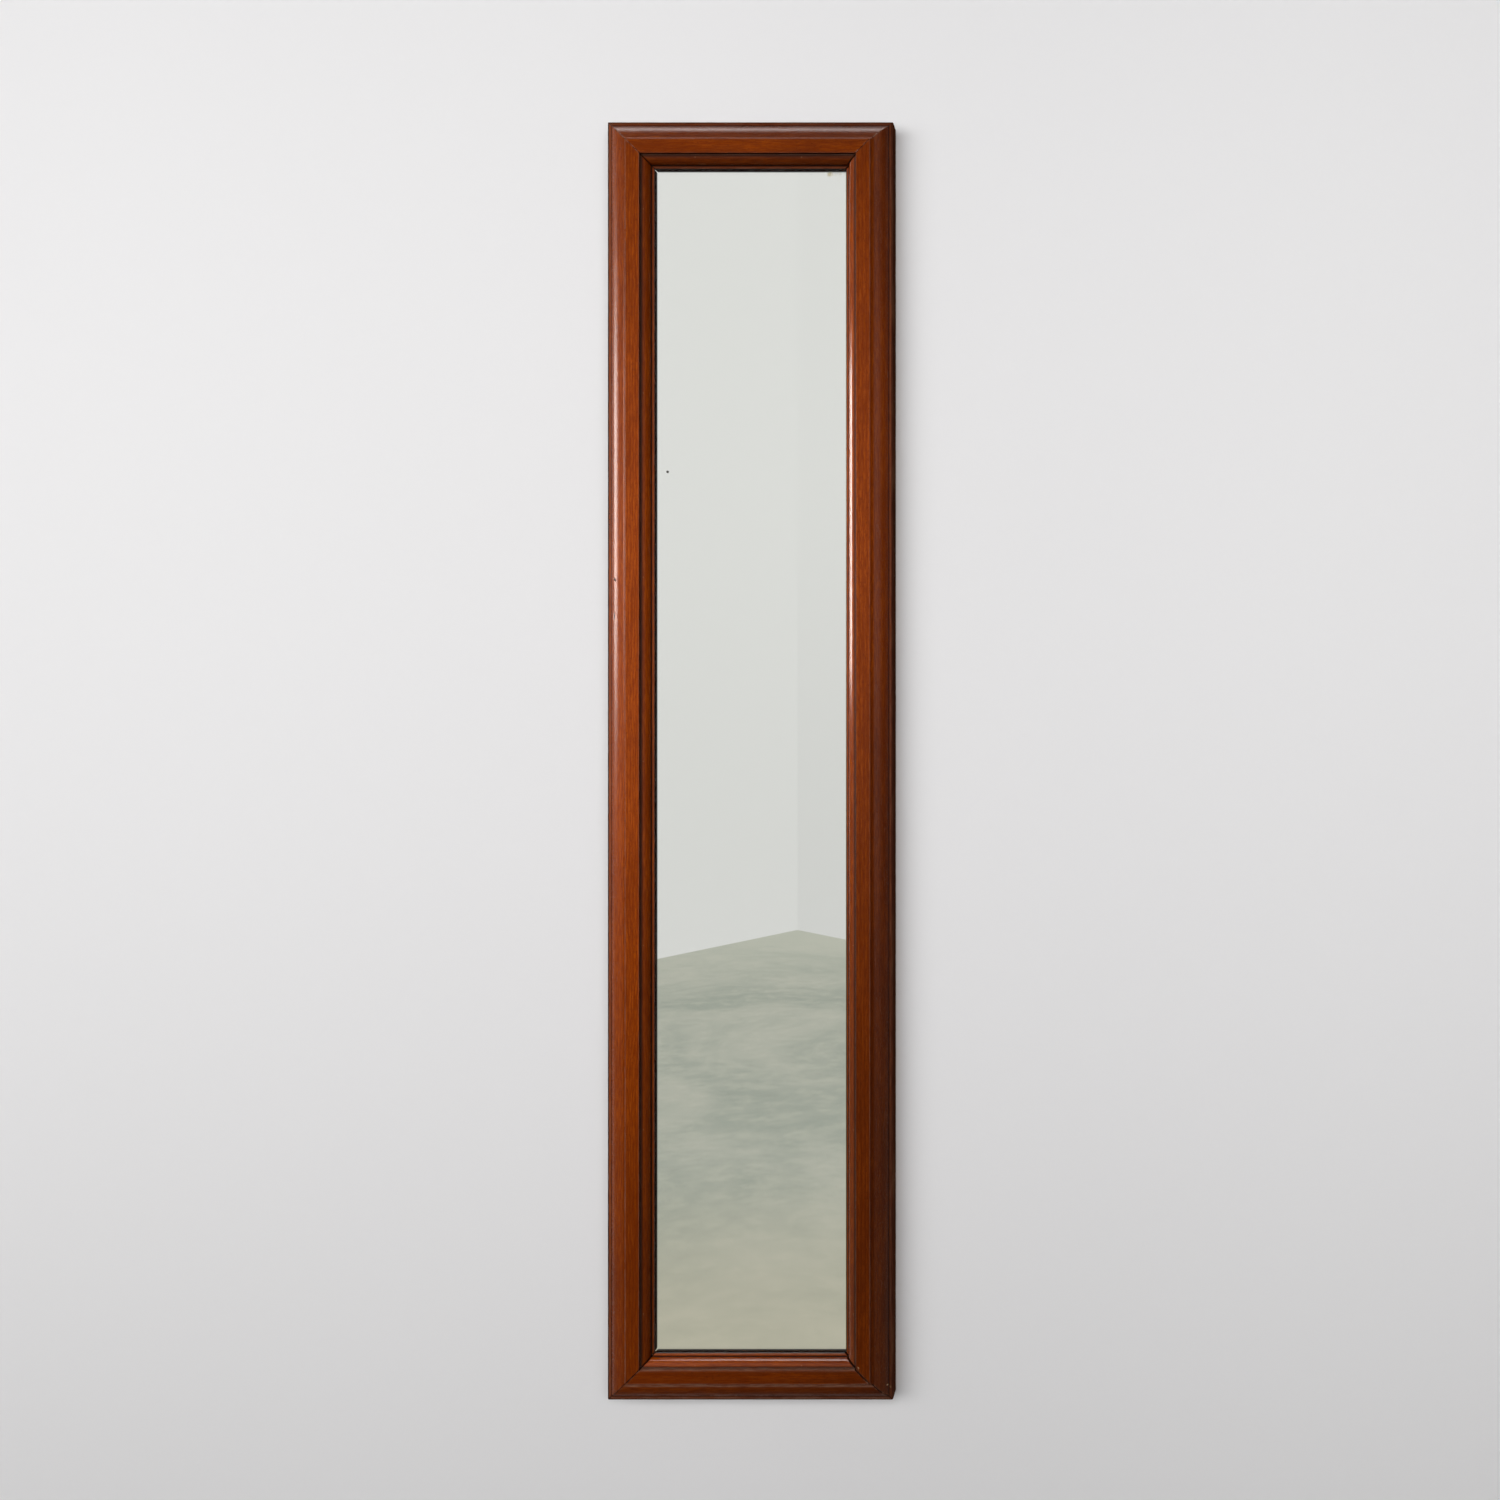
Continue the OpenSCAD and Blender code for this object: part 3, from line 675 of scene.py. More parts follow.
# %% Make the four slips
# Painted light and shade of each slip: the right and bottom slips, which face the light, are
# painted lighter, and the top and left ones darker. The third number is how pale their rubbed
# arrises and painted highlights are.
slip_lit_tones = {
    0: (1.35, 1.35, 0.8), 1: (0.45, 0.45, 0.7), 2: (0.66, 0.66, 0.6), 3: (1.6, 1.6, 1.7),
}
unchipped = (0, 0)
slips = {}
for side, node in slip_names.items():
    slips[side] = length_of_moulding(
        node + "_wood", side, slip_outline, slip_skins,
        slip_wear_and_glint_marks[:1] if side == 0 else slip_wear_and_glint_marks,
        slip_dirt_and_shade_marks + (dark_inner_arris if side == 0 else []),
        [slip_open[corner] for corner in mitre_ends[side]], hearts[(side + 1) % 4],
        pin_holes(side), slip_lit_tones[side], unchipped,
    )
    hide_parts(node)
    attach(slips[side], "frame")
print("slip vertices:", {piece.name: len(piece.data.vertices) for piece in slips.values()})

# %% [markdown]
# ## The glass plate
# Looking glass is a plain sheet with the silver on its back. Here it is a slab with finely
# ground edges. Its back stands a hair in front of the silver, because two surfaces in exactly
# the same place would flicker.


# %% A slab with bevelled edges
def slab(name, low, high, bevel):
    """A box between two corners, with all its edges bevelled in two steps."""
    shape = bmesh.new()
    bmesh.ops.create_cube(shape, size=1)
    low, high = Vector(low), Vector(high)
    for vert in shape.verts:
        vert.co = (low + high) / 2 + vert.co * (high - low)
    bmesh.ops.bevel(
        shape, geom=shape.edges[:], offset=bevel, segments=2, profile=0.5, affect="EDGES",
    )
    mesh = bpy.data.meshes.new(name)
    shape.to_mesh(mesh)
    shape.free()
    return placed(name, mesh)


hair = 0.02 * mm             # between the glass and the silver
ground_edge = 0.5 * mm
plate_low, plate_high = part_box("mirror_plate")
glass = slab("mirror_plate_glass", plate_low, plate_high - Vector((0, hair, 0)), ground_edge)
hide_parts("mirror_plate")
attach(glass, "frame")
print("glass", [round(size / mm, 2) for size in plate_high - plate_low], "mm")

# %% [markdown]
# ## A small language for finishes
# Blender's shader nodes are wired by hand in the editor. In a script the wiring is easier to
# read as sums: a Wire stands for the output of a node, and adding, multiplying or subtracting
# Wires adds the Math nodes. Everything else comes from one method that takes a node's type,
# its settings and its sockets.


# %% Wires and finishes
class Wire:
    """The output of a node, which can be used in sums with numbers and other wires."""

    def __init__(self, finish, socket):
        self.finish, self.socket = finish, socket

    def __add__(self, other):
        return self.finish.sum("ADD", self, other)

    def __sub__(self, other):
        return self.finish.sum("SUBTRACT", self, other)

    def __rsub__(self, other):
        return self.finish.sum("SUBTRACT", other, self)

    def __mul__(self, other):
        return self.finish.sum("MULTIPLY", self, other)

    def __truediv__(self, other):
        return self.finish.sum("DIVIDE", self, other)

    def __pow__(self, other):
        return self.finish.sum("POWER", self, other)

    __radd__, __rmul__ = __add__, __mul__


class Finish:
    """A material, wired node by node."""

    def __init__(self, name, data=None):
        self.material = data or bpy.data.materials.new(name)
        self.material.use_nodes = True
        self.tree = self.material.node_tree
        self.tree.nodes.clear()

    def node(self, kind, settings=None, sockets=None, out=0):
        """Adds a node, sets it up, feeds its sockets, and returns one of its outputs."""
        made = self.tree.nodes.new("ShaderNode" + kind)
        for key, value in (settings or {}).items():
            setattr(made, key, value)
        for key, value in (sockets or {}).items():
            if isinstance(value, Wire):
                self.tree.links.new(value.socket, made.inputs[key])
            else:
                made.inputs[key].default_value = value
        return Wire(self, made.outputs[out]) if made.outputs else made

    def sum(self, operation, *values):
        """Adds a Math node for one step of a sum."""
        return self.node("Math", {"operation": operation}, dict(enumerate(values)))


trial = Finish("trial")
mask = 1 - trial.node("TexNoise") * 0.5
print("1 - noise * 0.5 is made of", [node.type for node in mask.finish.tree.nodes])
bpy.data.materials.remove(trial.material)

# %% [markdown]
# ## Words for what finishes have in common
# Four more words cover nearly everything: noise at a place, a level that turns a noise into a
# mask, a mix of two colours by a mask, and the surface that all of it ends in. Constants such
# as the strength of a polish and the index of refraction are set on the shader itself.


# %% Colours
def paint(red, green, blue):
    """A colour as it is seen, from 0 to 255, turned into the light that it reflects."""
    parts = [value / 255 for value in (red, green, blue)]
    light = [p / 12.92 if p <= 0.04045 else ((p + 0.055) / 1.055) ** 2.4 for p in parts]
    return (*light, 1)


print("a middle grey reflects", round(paint(128, 128, 128)[0], 3), "of the light")


# %% Noise and levels
def grains(finish, place, scale, detail=2, roughness=0.5, distortion=0):
    """Noise from 0 to 1 whose grains are 1/scale long in each direction."""
    if not isinstance(scale, tuple):
        scale = (scale, scale, scale)
    stretched = finish.node("VectorMath", {"operation": "MULTIPLY"}, {0: place, 1: scale})
    return finish.node("TexNoise", {}, {
        "Vector": stretched, "Scale": 1, "Detail": detail, "Roughness": roughness,
        "Distortion": distortion,
    })


def level(finish, value, low, high):
    """0 below low, 1 above high, and smooth between."""
    return finish.node("MapRange", {"interpolation_type": "SMOOTHSTEP"}, {
        "Value": value, "From Min": low, "From Max": high,
    })


def attribute(finish, name, out="Fac"):
    """What the mesh says at each point under a name."""
    return finish.node("Attribute", {"attribute_name": name}, out=out)


def own_place(finish):
    """The place of each point in its object, in metres."""
    return finish.node("TexCoord", out="Object")


def split(finish, vector, axes="XYZ"):
    """The parts of a place or a direction along the axes."""
    return [finish.node("SeparateXYZ", {}, {0: vector}, out=axis) for axis in axes]


print("a scale of 100 gives grains of", round(1 / 100 / mm), "mm")

# %% Mixes and surfaces
bump_depth = 0.2 * mm        # unless a finish gives its own


def mixed(finish, mask, first, second):
    """The first colour where the mask is 0, and the second where it is 1."""
    settings = {"data_type": "RGBA", "blend_type": "MIX", "clamp_factor": True}
    return finish.node("Mix", settings, {0: mask, 6: first, 7: second}, out=2)


def finished(finish, shown, output="Material"):
    """Ends a finish in its output."""
    finish.node("Output" + output, {}, {"Surface": shown})
    print("made", finish.material.name, "from", len(finish.tree.nodes), "nodes")
    return finish.material


def surface(finish, sockets, bump=None, strength=0.3, distance=bump_depth):
    """Ends a finish in the Principled surface, with a bump if one is given."""
    if bump is not None:
        sockets["Normal"] = finish.node("Bump", {}, {
            "Height": bump, "Strength": strength, "Distance": distance,
        })
    return finished(finish, finish.node("BsdfPrincipled", {}, sockets))


print("a bump is", round(bump_depth / mm, 1), "mm deep, unless a finish gives its own depth")

# %% [markdown]
# ## The wood
# The frame is an open-pored hardwood under reddish-brown stain and polish. Growth rings are
# cylinders around the pith of the tree, so they are drawn as the distance from the pith in the
# board, bent by slow noise: that one rule gives straight lines where a length was sawn across
# the rings and pointed arches where it was sawn along them. Pores are short dark flecks, and
# the stain lies in broad, uneven patches. Last come the painted light and shade, the dirt and
# painted shade in the crevices, the rubbed arrises with their painted highlights, and the
# stopped holes, from the attributes on the mesh.


# %% The figure of the wood
rings_per_metre = 330


def figure(finish, board):
    """Masks for the growth rings, the streaks, the pores and the stain's patches."""
    along, a, h = split(finish, board)
    bend = grains(finish, board, (5, 14, 14)) - 0.5
    fray = grains(finish, board, (60, 900, 900)) - 0.5
    side_way = a + bend * 0.016
    depth = h + bend * 0.010 + along * 0.002
    radius = (side_way * side_way + depth * depth) ** 0.5
    turn = finish.sum("FRACT", radius * rings_per_metre + fray * 0.8)
    rings = level(finish, turn, 0.15, 0.92) * level(finish, 1 - turn, 0.0, 0.12)
    streaks = grains(finish, board, (60, 700, 700), detail=3, roughness=0.6)
    pores = level(finish, grains(finish, board, (240, 1500, 1500), detail=1), 0.58, 0.74)
    patches = grains(finish, board, (9, 50, 50), detail=4)
    return rings, streaks, pores, patches


print("one growth ring every", round(1 / rings_per_metre / mm, 1), "mm")

# %% The stains, and what covers them
pale_stain = paint(178, 80, 8)
middle_stain = paint(146, 58, 3)
deep_stain = paint(124, 46, 2)
pore_brown = paint(88, 34, 4)
# Rubbed wood, pale and pinkish, which also paints the highlights on the arrises.
rubbed_wood_and_glint = paint(148, 116, 98)
# Near-black brown for dirt in the hollows, which also paints the shade there.
dirt_and_painted_shade = paint(20, 11, 8)
stopping_wax = paint(176, 140, 104)
print("the pale stain reflects", [round(value, 3) for value in pale_stain[:3]])


# %% Stained and polished hardwood
def polished_wood(name, grain, roughness, shine, mottle):
    """Hardwood under stain and polish. "grain" is how plainly its figure shows, "shine" the
    strength of its polish, and "mottle" how far the polish has crept into ridges."""
    finish = Finish(name)
    board = attribute(finish, "grain", "Vector")
    worn, grime = attribute(finish, "worn"), attribute(finish, "grime")
    stopping, faint = attribute(finish, "stopping"), attribute(finish, "tone")
    rings, streaks, pores, patches = figure(finish, board)

    tone = mixed(finish, level(finish, streaks, 0.34, 0.66), middle_stain, pale_stain)
    tone = mixed(finish, level(finish, patches, 0.38, 0.70) * 0.45, tone, deep_stain)
    tone = mixed(finish, rings * (0.45 * grain), tone, deep_stain)
    tone = mixed(finish, pores * (0.6 * grain), tone, pore_brown)
    # Scaling by the tone attribute paints light and shade into the colour.
    tone = finish.node("VectorMath", {"operation": "SCALE"}, {0: tone, "Scale": faint})
    broken = level(finish, grains(finish, board, (60, 420, 420), detail=4), 0.32, 0.74)
    # Pale rubbed wood on the arrises and the ends, which also paints their highlights.
    tone = mixed(finish, worn * (broken * 0.7 + 0.3), tone, rubbed_wood_and_glint)
    # Dark dirt in the hollows, which also paints the shade that falls there.
    tone = mixed(finish, level(finish, grime, 0.12, 0.95) * 0.92, tone, dirt_and_painted_shade)
    tone = mixed(finish, stopping, tone, stopping_wax)

    smears = grains(finish, board, (22, 160, 160), detail=3)
    dusty = level(finish, grime, 0.45, 1.0)
    rough = roughness + smears * 0.14 + pores * 0.1 + dusty * 0.20 - 0.07
    crept = grains(finish, board, (190, 520, 520), detail=4, roughness=0.7)
    relief = crept * mottle + streaks * 0.2 - pores * (0.4 * grain)
    return surface(finish, {
        "Base Color": tone, "Roughness": rough, "Specular IOR Level": shine,
    }, relief, strength=0.3, distance=0.25 * mm)


bright_rounds = polished_wood("polished rounds", grain=0.5, roughness=0.25, shine=0.145, mottle=1.8)

# %% [markdown]
# ## One polish, aged in six ways
# The same polish went on all round, and time has treated it differently. It still gleams
# on the rounds of the stiles, and has crept into fine ridges on the top rail, where warm air
# rises. On the bottom rail it was wiped dim, and on the flats it has gone dull. Two of the
# slips have kept their gloss and two haven't. The strength of a polish is a constant of the
# shader, so these are six materials from one recipe, each with its own numbers.

# %% The other five polishes
crept_rounds = polished_wood("crept polish", grain=0.5, roughness=0.28, shine=0.18, mottle=3.6)
dim_rounds = polished_wood("dim rounds", grain=0.5, roughness=0.28, shine=0.05, mottle=0.8)
dull_flats = polished_wood("dulled flats", grain=1.25, roughness=0.28, shine=0.036, mottle=0.4)
glossy_slip = polished_wood("glossy slip", grain=0.45, roughness=0.12, shine=0.25, mottle=0.35)
dim_slip = polished_wood("dim slip", grain=0.45, roughness=0.26, shine=0.06, mottle=0.4)

# %% [markdown]
# ## Wood without polish
# The outer edges were brushed with a thin dark stain, which has taken unevenly. The back is as
# it came from the saw: brown with age, marked across by the saw's teeth, and spotted where the
# stain ran over. Both are rough, so their fibres show in the bump more than in the gloss. The
# saw marks are one wave texture along the board, which is cheaper than cutting them in the
# mesh and is seen only from close by.


# %% Brushed edges and the raw back
def bare_edges():
    """Wood that was only brushed with dark stain, at the sides."""
    finish = Finish("stained bare wood")
    board = attribute(finish, "grain", "Vector")
    fibres = grains(finish, board, (30, 900, 900), detail=3)
    cloud = grains(finish, board, (14, 60, 60), detail=4)
    tone = mixed(finish, level(finish, fibres, 0.35, 0.7), paint(52, 26, 17), paint(78, 40, 25))
    tone = mixed(finish, level(finish, cloud, 0.45, 0.75) * 0.6, tone, paint(96, 62, 42))
    return surface(finish, {
        "Base Color": tone, "Roughness": 0.80 + fibres * 0.15, "Specular IOR Level": 0.0,
    }, fibres, strength=0.4, distance=0.2 * mm)


def raw_back():
    """Sawn wood that was never stained, gone brown with age, with some runs of stain."""
    finish = Finish("raw wood of the back")
    board = attribute(finish, "grain", "Vector")
    fibres = grains(finish, board, (25, 700, 700), detail=3)
    cloud = grains(finish, board, (10, 45, 45), detail=5, roughness=0.6)
    kerf = finish.node("TexWave", {"bands_direction": "X"}, {
        "Vector": board, "Scale": 130, "Distortion": 4, "Detail": 2, "Detail Scale": 0.5,
    })
    tone = mixed(finish, level(finish, fibres, 0.3, 0.7), paint(104, 70, 46), paint(132, 94, 64))
    tone = mixed(finish, level(finish, cloud, 0.42, 0.70) * 0.75, tone, paint(72, 42, 27))
    return surface(finish, {
        "Base Color": tone, "Roughness": 0.80 + fibres * 0.15, "Specular IOR Level": 0.15,
    }, fibres * 0.6 + kerf * 0.3, strength=0.4, distance=0.25 * mm)


bare_wood, raw_wood = bare_edges(), raw_back()

# %% Give each strip its finish
# The finishes are added in the order of the strips: round, flat, brushed, raw.
side_rounds = {
    0: (bright_rounds, glossy_slip), 1: (crept_rounds, dim_slip),
    2: (bright_rounds, dim_slip), 3: (dim_rounds, glossy_slip),
}
for side, (rounds, slip_rounds) in side_rounds.items():
    for skin in (rounds, dull_flats, bare_wood, raw_wood):
        members[side].data.materials.append(skin)
    for skin in (slip_rounds, slip_rounds, bare_wood):
        slips[side].data.materials.append(skin)
print("finishes of the top rail:", [skin.name for skin in members[1].data.materials])

# %% [markdown]
# ## Glass and silver
# The plate is faintly green, as old plate glass is. The silver behind it is a metal that
# reflects nearly everything, except where damp has eaten it: a yellowed patch and some specks
# at the top right corner, a line of small losses along the top edge, and one dark speck near
# the left edge.


# %% Glass
def plate_glass():
    """Clear glass with a faint tint, flat enough to need no bump."""
    finish = Finish("old plate glass")
    return surface(finish, {
        "Base Color": (0.984, 0.990, 0.979, 1), "Roughness": 0.0, "IOR": 1.52,
        "Transmission Weight": 1,
    })


glass.data.materials.append(plate_glass())


# %% Spots in the silver, and where they are
def spot(finish, place, centre, radius):
    """1 in a round spot around a point of the plate, falling to 0 at its radius."""
    gap = finish.node("VectorMath", {"operation": "SUBTRACT"}, {0: place, 1: centre})
    gap = finish.node("VectorMath", {"operation": "LENGTH"}, {0: gap}, out="Value")
    return level(finish, 1 - gap / radius, 0.0, 1.0)


silver_y = back_y - silver_h
top_sight = middle_z + frame_h / 2 - sight_a
right_sight = frame_w / 2 - sight_a
damp_corner = (right_sight - 12 * mm, silver_y, top_sight - 2 * mm)
yellow_patch = (right_sight - 24 * mm, silver_y, top_sight - 5 * mm)
dark_bead = (16.2 * mm - right_sight, silver_y, -0.465)
print("the dark speck is", round((dark_bead[0] + right_sight) / mm, 1), "mm from the left slip")


# %% Give a CAD node its finish
def refinish(node, material):
    """Gives a CAD node a material, in the slot that it already has."""
    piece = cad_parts[node]
    if not piece.material_slots:
        piece.data.materials.append(material)
    for slot in piece.material_slots:
        slot.material = material


print("the frame has", len(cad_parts), "nodes")


# %% Old silvering
def old_silver():
    """A mirror metal, yellowed and then eaten away at the places above."""
    finish = Finish("old silvering")
    place = own_place(finish)
    x, z = split(finish, place, "XZ")
    foxing = grains(finish, place, 420, detail=4, roughness=0.65)
    fine = grains(finish, place, 1300)

    damp = spot(finish, place, damp_corner, 34 * mm)
    patch = spot(finish, place, yellow_patch, 7 * mm)
    bead = spot(finish, place, dark_bead, 3.2 * mm)
    edge = level(finish, z, top_sight - 9 * mm, top_sight - 3 * mm)
    brim = level(finish, x, right_sight - 2.4 * mm, right_sight - 1.4 * mm)
    yellowed = level(finish, foxing + damp * 0.34 + patch * 0.35, 0.84, 1.06)
    specks = level(finish, fine + damp * 0.20 + edge * 0.10, 0.86, 0.93)
    holes = finish.sum("MAXIMUM", specks, level(finish, bead, 0.3, 0.5))

    tone = mixed(finish, brim * 0.6, (0.95, 0.952, 0.945, 1), paint(244, 236, 204))
    tone = mixed(finish, yellowed * 0.6, tone, paint(206, 184, 116))
    tone = mixed(finish, holes, tone, paint(58, 52, 30))
    return surface(finish, {
        "Base Color": tone, "Metallic": 1 - holes, "Roughness": yellowed * 0.30 + holes * 0.5,
    })


refinish("silvering", old_silver())

# %% [markdown]
# ## Behind the frame
# Nobody polishes the back. Three thin pine boards, brown with air and soot, keep the dust off
# the silver, and the blocks and tongues are the same softwood. Pine has wide, plain rings. A
# wave texture would draw them as even stripes, so they are worked out from the pith, as in
# the frame. The pith of each board leans, so its rings come out as long pointed arches.

# %% Bare softwood, for the blocks and tongues
pine_rings_per_metre = 190


def bare_softwood(name, pale, dark, heart):
    """Unfinished pine with its grain along z. "heart" is where the tree's pith stood: to one
    side, how deep behind the board, and how fast that depth changes along the board."""
    finish = Finish(name)
    place = own_place(finish)
    x, y, z = split(finish, place)
    bend = grains(finish, place, (8, 8, 2.2)) - 0.5
    fibres = grains(finish, place, (900, 900, 30), detail=3)
    side_way = x - heart[0] + bend * 0.022
    depth = y + z * heart[2] + heart[1] + bend * 0.03
    radius = (side_way * side_way + depth * depth) ** 0.5
    turn = finish.sum("FRACT", radius * pine_rings_per_metre + fibres * 0.25)
    late = level(finish, turn, 0.30, 0.95) * level(finish, 1 - turn, 0.0, 0.15)
    soot = grains(finish, place, (11, 11, 5), detail=5, roughness=0.6)
    saw = finish.node("TexWave", {"bands_direction": "Z"}, {
        "Vector": place, "Scale": 85, "Distortion": 3, "Detail": 2, "Detail Scale": 0.6,
    })
    tone = mixed(finish, late * 0.65, pale, dark)
    tone = mixed(finish, level(finish, fibres, 0.35, 0.75) * 0.35, tone, dark)
    tone = mixed(finish, level(finish, soot, 0.46, 0.80) * 0.5, tone, paint(88, 70, 50))
    rough = 0.82 + fibres * 0.12
    relief = fibres * 0.5 - late * 0.3 + saw * 0.5
    return surface(finish, {
        "Base Color": tone, "Roughness": rough, "Specular IOR Level": 0.25,
    }, relief, strength=0.5, distance=0.25 * mm)


late_wood = paint(120, 82, 46)
offcuts = bare_softwood("pine offcuts", paint(172, 138, 96), late_wood, heart=(0.02, 0.05, 0))
for node in ("glazing_blocks", "mitre_tongues"):
    refinish(node, offcuts)

# %% [markdown]
# ## Boards with rough edges
# A board off the saw isn't quite flat, and its edges are broken by a few strokes of the plane.
# Each one is a bevelled slab whose long edges are divided, so that every point can be moved
# inward by smooth noise. A displacement in the material would look the same in a picture, but
# it wouldn't be in the mesh.

# %% Uneven boards
board_bevel = 0.6 * mm
board_cuts = 15
long_edge = 0.1              # only edges longer than this are divided
edge_wander = 0.25 * mm      # how far in the edges of a board wander
face_wander = 0.06 * mm      # and its faces


def backboard(node, pine):
    """A thin board, slightly uneven all over, with its arrises broken."""
    low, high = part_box(node)
    board = slab(node + "_pine", low, high, board_bevel)
    shape = bmesh.new()
    shape.from_mesh(board.data)
    bmesh.ops.subdivide_edges(shape, edges=[
        edge for edge in shape.edges if edge.calc_length() > long_edge
    ], cuts=board_cuts, use_grid_fill=True)
    middle = (low + high) / 2
    for vert in shape.verts:
        rough = noise.noise(vert.co * 40) + noise.noise(vert.co * 160) * 0.4
        inward = (middle - vert.co).normalized()
        edge_on = abs(vert.co.y - middle.y) < (high.y - low.y) / 2 - 0.1 * mm
        if edge_on:
            vert.co += Vector((inward.x, 0, inward.z)) * (1 + rough) * edge_wander
        else:
            vert.co.y += math.copysign(1, middle.y - vert.co.y) * (1 + rough) * face_wander
    shape.to_mesh(board.data)
    shape.free()
    board.data.materials.append(pine)
    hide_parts(node)
    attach(board, "frame")
    return board


print("the edges of a board wander by about", round(edge_wander / mm, 2), "mm")

# %% Make the three boards
planks = {
    "upper_backboard": (paint(166, 132, 90), (0.03, 0.075, 0.10)),
    "middle_backboard": (paint(158, 124, 84), (-0.05, 0.02, -0.035)),
    "lower_backboard": (paint(172, 140, 98), (0.01, 0.15, 0.07)),
}
boards = [
    backboard(node, bare_softwood("pine of the " + node, pale, late_wood, heart))
    for node, (pale, heart) in planks.items()
]
print("board vertices:", [len(board.data.vertices) for board in boards])

# %% [markdown]
# ## Iron and brass
# The corner plates, brads and nails are iron with a skin of rust, and the hangers are cheap
# brass that has dulled to olive. All of them come from one recipe: a cloud of tarnish, fine
# pits and long scratches. Old metal is half covered by its oxide, so the recipe is half
# metallic. A full metal would only mirror the dark gap behind the frame, and look black.


# %% Iron for the corners and nails, brass for the hangers
def old_metal(name, bright, dull, rust, rusting, roughness):
    """A metal that is bright where it is handled, dull elsewhere, and spotted with rust."""
    finish = Finish(name)
    place = own_place(finish)
    cloud = grains(finish, place, 70, detail=5, roughness=0.6)
    pits = grains(finish, place, 600, detail=3, roughness=0.6)
    scratches = grains(finish, place, (90, 90, 2600))
    spots = level(finish, pits * 0.5 + cloud * 0.6, 1 - rusting, 1.12 - rusting)
    tone = mixed(finish, level(finish, cloud, 0.35, 0.7), dull, bright)
    tone = mixed(finish, spots, tone, rust)
    return surface(finish, {
        "Base Color": tone, "Metallic": 0.5 - spots * 0.45,
        "Roughness": roughness + spots * 0.4 + scratches * 0.12,
    }, pits * 0.6 - scratches * 0.2, strength=0.35, distance=0.12 * mm)


iron = old_metal(
    "rusted iron plate", paint(132, 128, 122), paint(92, 88, 83), paint(96, 56, 34),
    rusting=0.50, roughness=0.48,
)
nail_iron = old_metal(
    "nail iron", paint(112, 106, 100), paint(70, 64, 60), paint(84, 46, 26),
    rusting=0.50, roughness=0.50,
)
brass = old_metal(
    "dulled brass", paint(206, 172, 104), paint(150, 122, 70), paint(84, 74, 48),
    rusting=0.40, roughness=0.34,
)

# %% Give each metal to its pieces
for node in ("backboard_brads", "slip_pins", "mitre_nails"):
    refinish(node, nail_iron)
corner_iron = [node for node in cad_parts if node.startswith("corner_plate")]
for node in corner_iron:
    refinish(node, iron)
hangers = [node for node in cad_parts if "hanger" in node]
for node in hangers:
    refinish(node, brass)
print("iron:", corner_iron)
print("brass:", hangers)

# %% [markdown]
# ## The pads
# Three rubber pads hold the frame off the wall, so that air can pass behind it. Old rubber
# goes chalky: a pale bloom over black, rough all over, from one noise that also drives the
# bump.


# %% Rubber pads
def pad_rubber():
    """Black rubber under a pale bloom."""
    finish = Finish("old rubber pads")
    chalk = grains(finish, own_place(finish), 260, detail=5, roughness=0.65)
    tone = mixed(finish, level(finish, chalk, 0.45, 0.8), paint(34, 32, 31), paint(78, 74, 70))
    return surface(finish, {
        "Base Color": tone, "Roughness": 0.72 + chalk * 0.2, "Specular IOR Level": 0.3,
    }, chalk, strength=0.3)


refinish("wall_pads", pad_rubber())

# %% [markdown]
# ## The viewer
# The mirror is seen from its right and from a little above its middle, by a camera that looks
# straight at the wall. Turning the camera towards the mirror would make the far side of the
# frame look shorter than the near one. So the lens is shifted instead, as a view camera's is.

# %% The viewer's place
# The principal point is where the photograph's lines of sight are square to the wall. It lies
# to the right of the picture's middle, and a little above it.
picture_px = 1500
focal_px = 1403
principal_px = (1093.8, 706)
eye = Vector((0.481, -2.0, -0.794))

camera_data = bpy.data.cameras.new("viewer")
camera_data.sensor_width = 36
camera_data.lens = focal_px / picture_px * camera_data.sensor_width
camera_data.shift_x = (picture_px / 2 - principal_px[0]) / picture_px
camera_data.shift_y = (principal_px[1] - picture_px / 2) / picture_px
camera = bpy.data.objects.new("viewer", camera_data)
camera.location = eye
camera.rotation_euler = (math.radians(90), 0, 0)
bpy.context.scene.collection.objects.link(camera)
bpy.context.scene.camera = camera
print("lens", round(camera_data.lens, 2), "mm, shift", round(camera_data.shift_x, 3))

# %% [markdown]
# ## The room in the glass
# A mirror is mostly a picture of its room. So the stage has more than a wall and a floor: two
# pale walls meet behind the viewer, and the glass shows their corner and the floor. A mirrored
# room is the room seen from the eye's own image behind the wall, so three places of the
# picture are enough to say where its corner and its feet stand.

# %% The room's corner, from where the glass shows it
eye_height = 1.306           # above the floor
floor_z = eye.z - eye_height
# Where the glass shows the corner and the feet of its two walls, as (column, row).
corner_px = (799, 928.3)
left_foot_px = (660, 957.3)
right_foot_px = (845, 937.6)


def on_floor(column, row):
    """The point of the floor that the glass shows at a place of the picture."""
    away = eye_height * focal_px / (row - principal_px[1])
    aside = away * (column - principal_px[0]) / focal_px
    return Vector((eye.x + aside, -(away + eye.y), floor_z))


corner = on_floor(*corner_px)
left_foot = on_floor(*left_foot_px)
right_foot = on_floor(*right_foot_px)
print("the room's corner stands at", [round(value, 2) for value in corner])

# %% [markdown]
# ## Walls that glow
# The wall behind the mirror is real paint, so that the frame's shadow falls on it. The others
# glow by themselves, and no panel throws light or shadow on the frame, so that what the glass
# shows can be set without changing how the frame is lit. Each is seen from its front only:
# from behind it is clear, and hides nothing in the other views.

# %% Panels of the room
room_h = 5.2


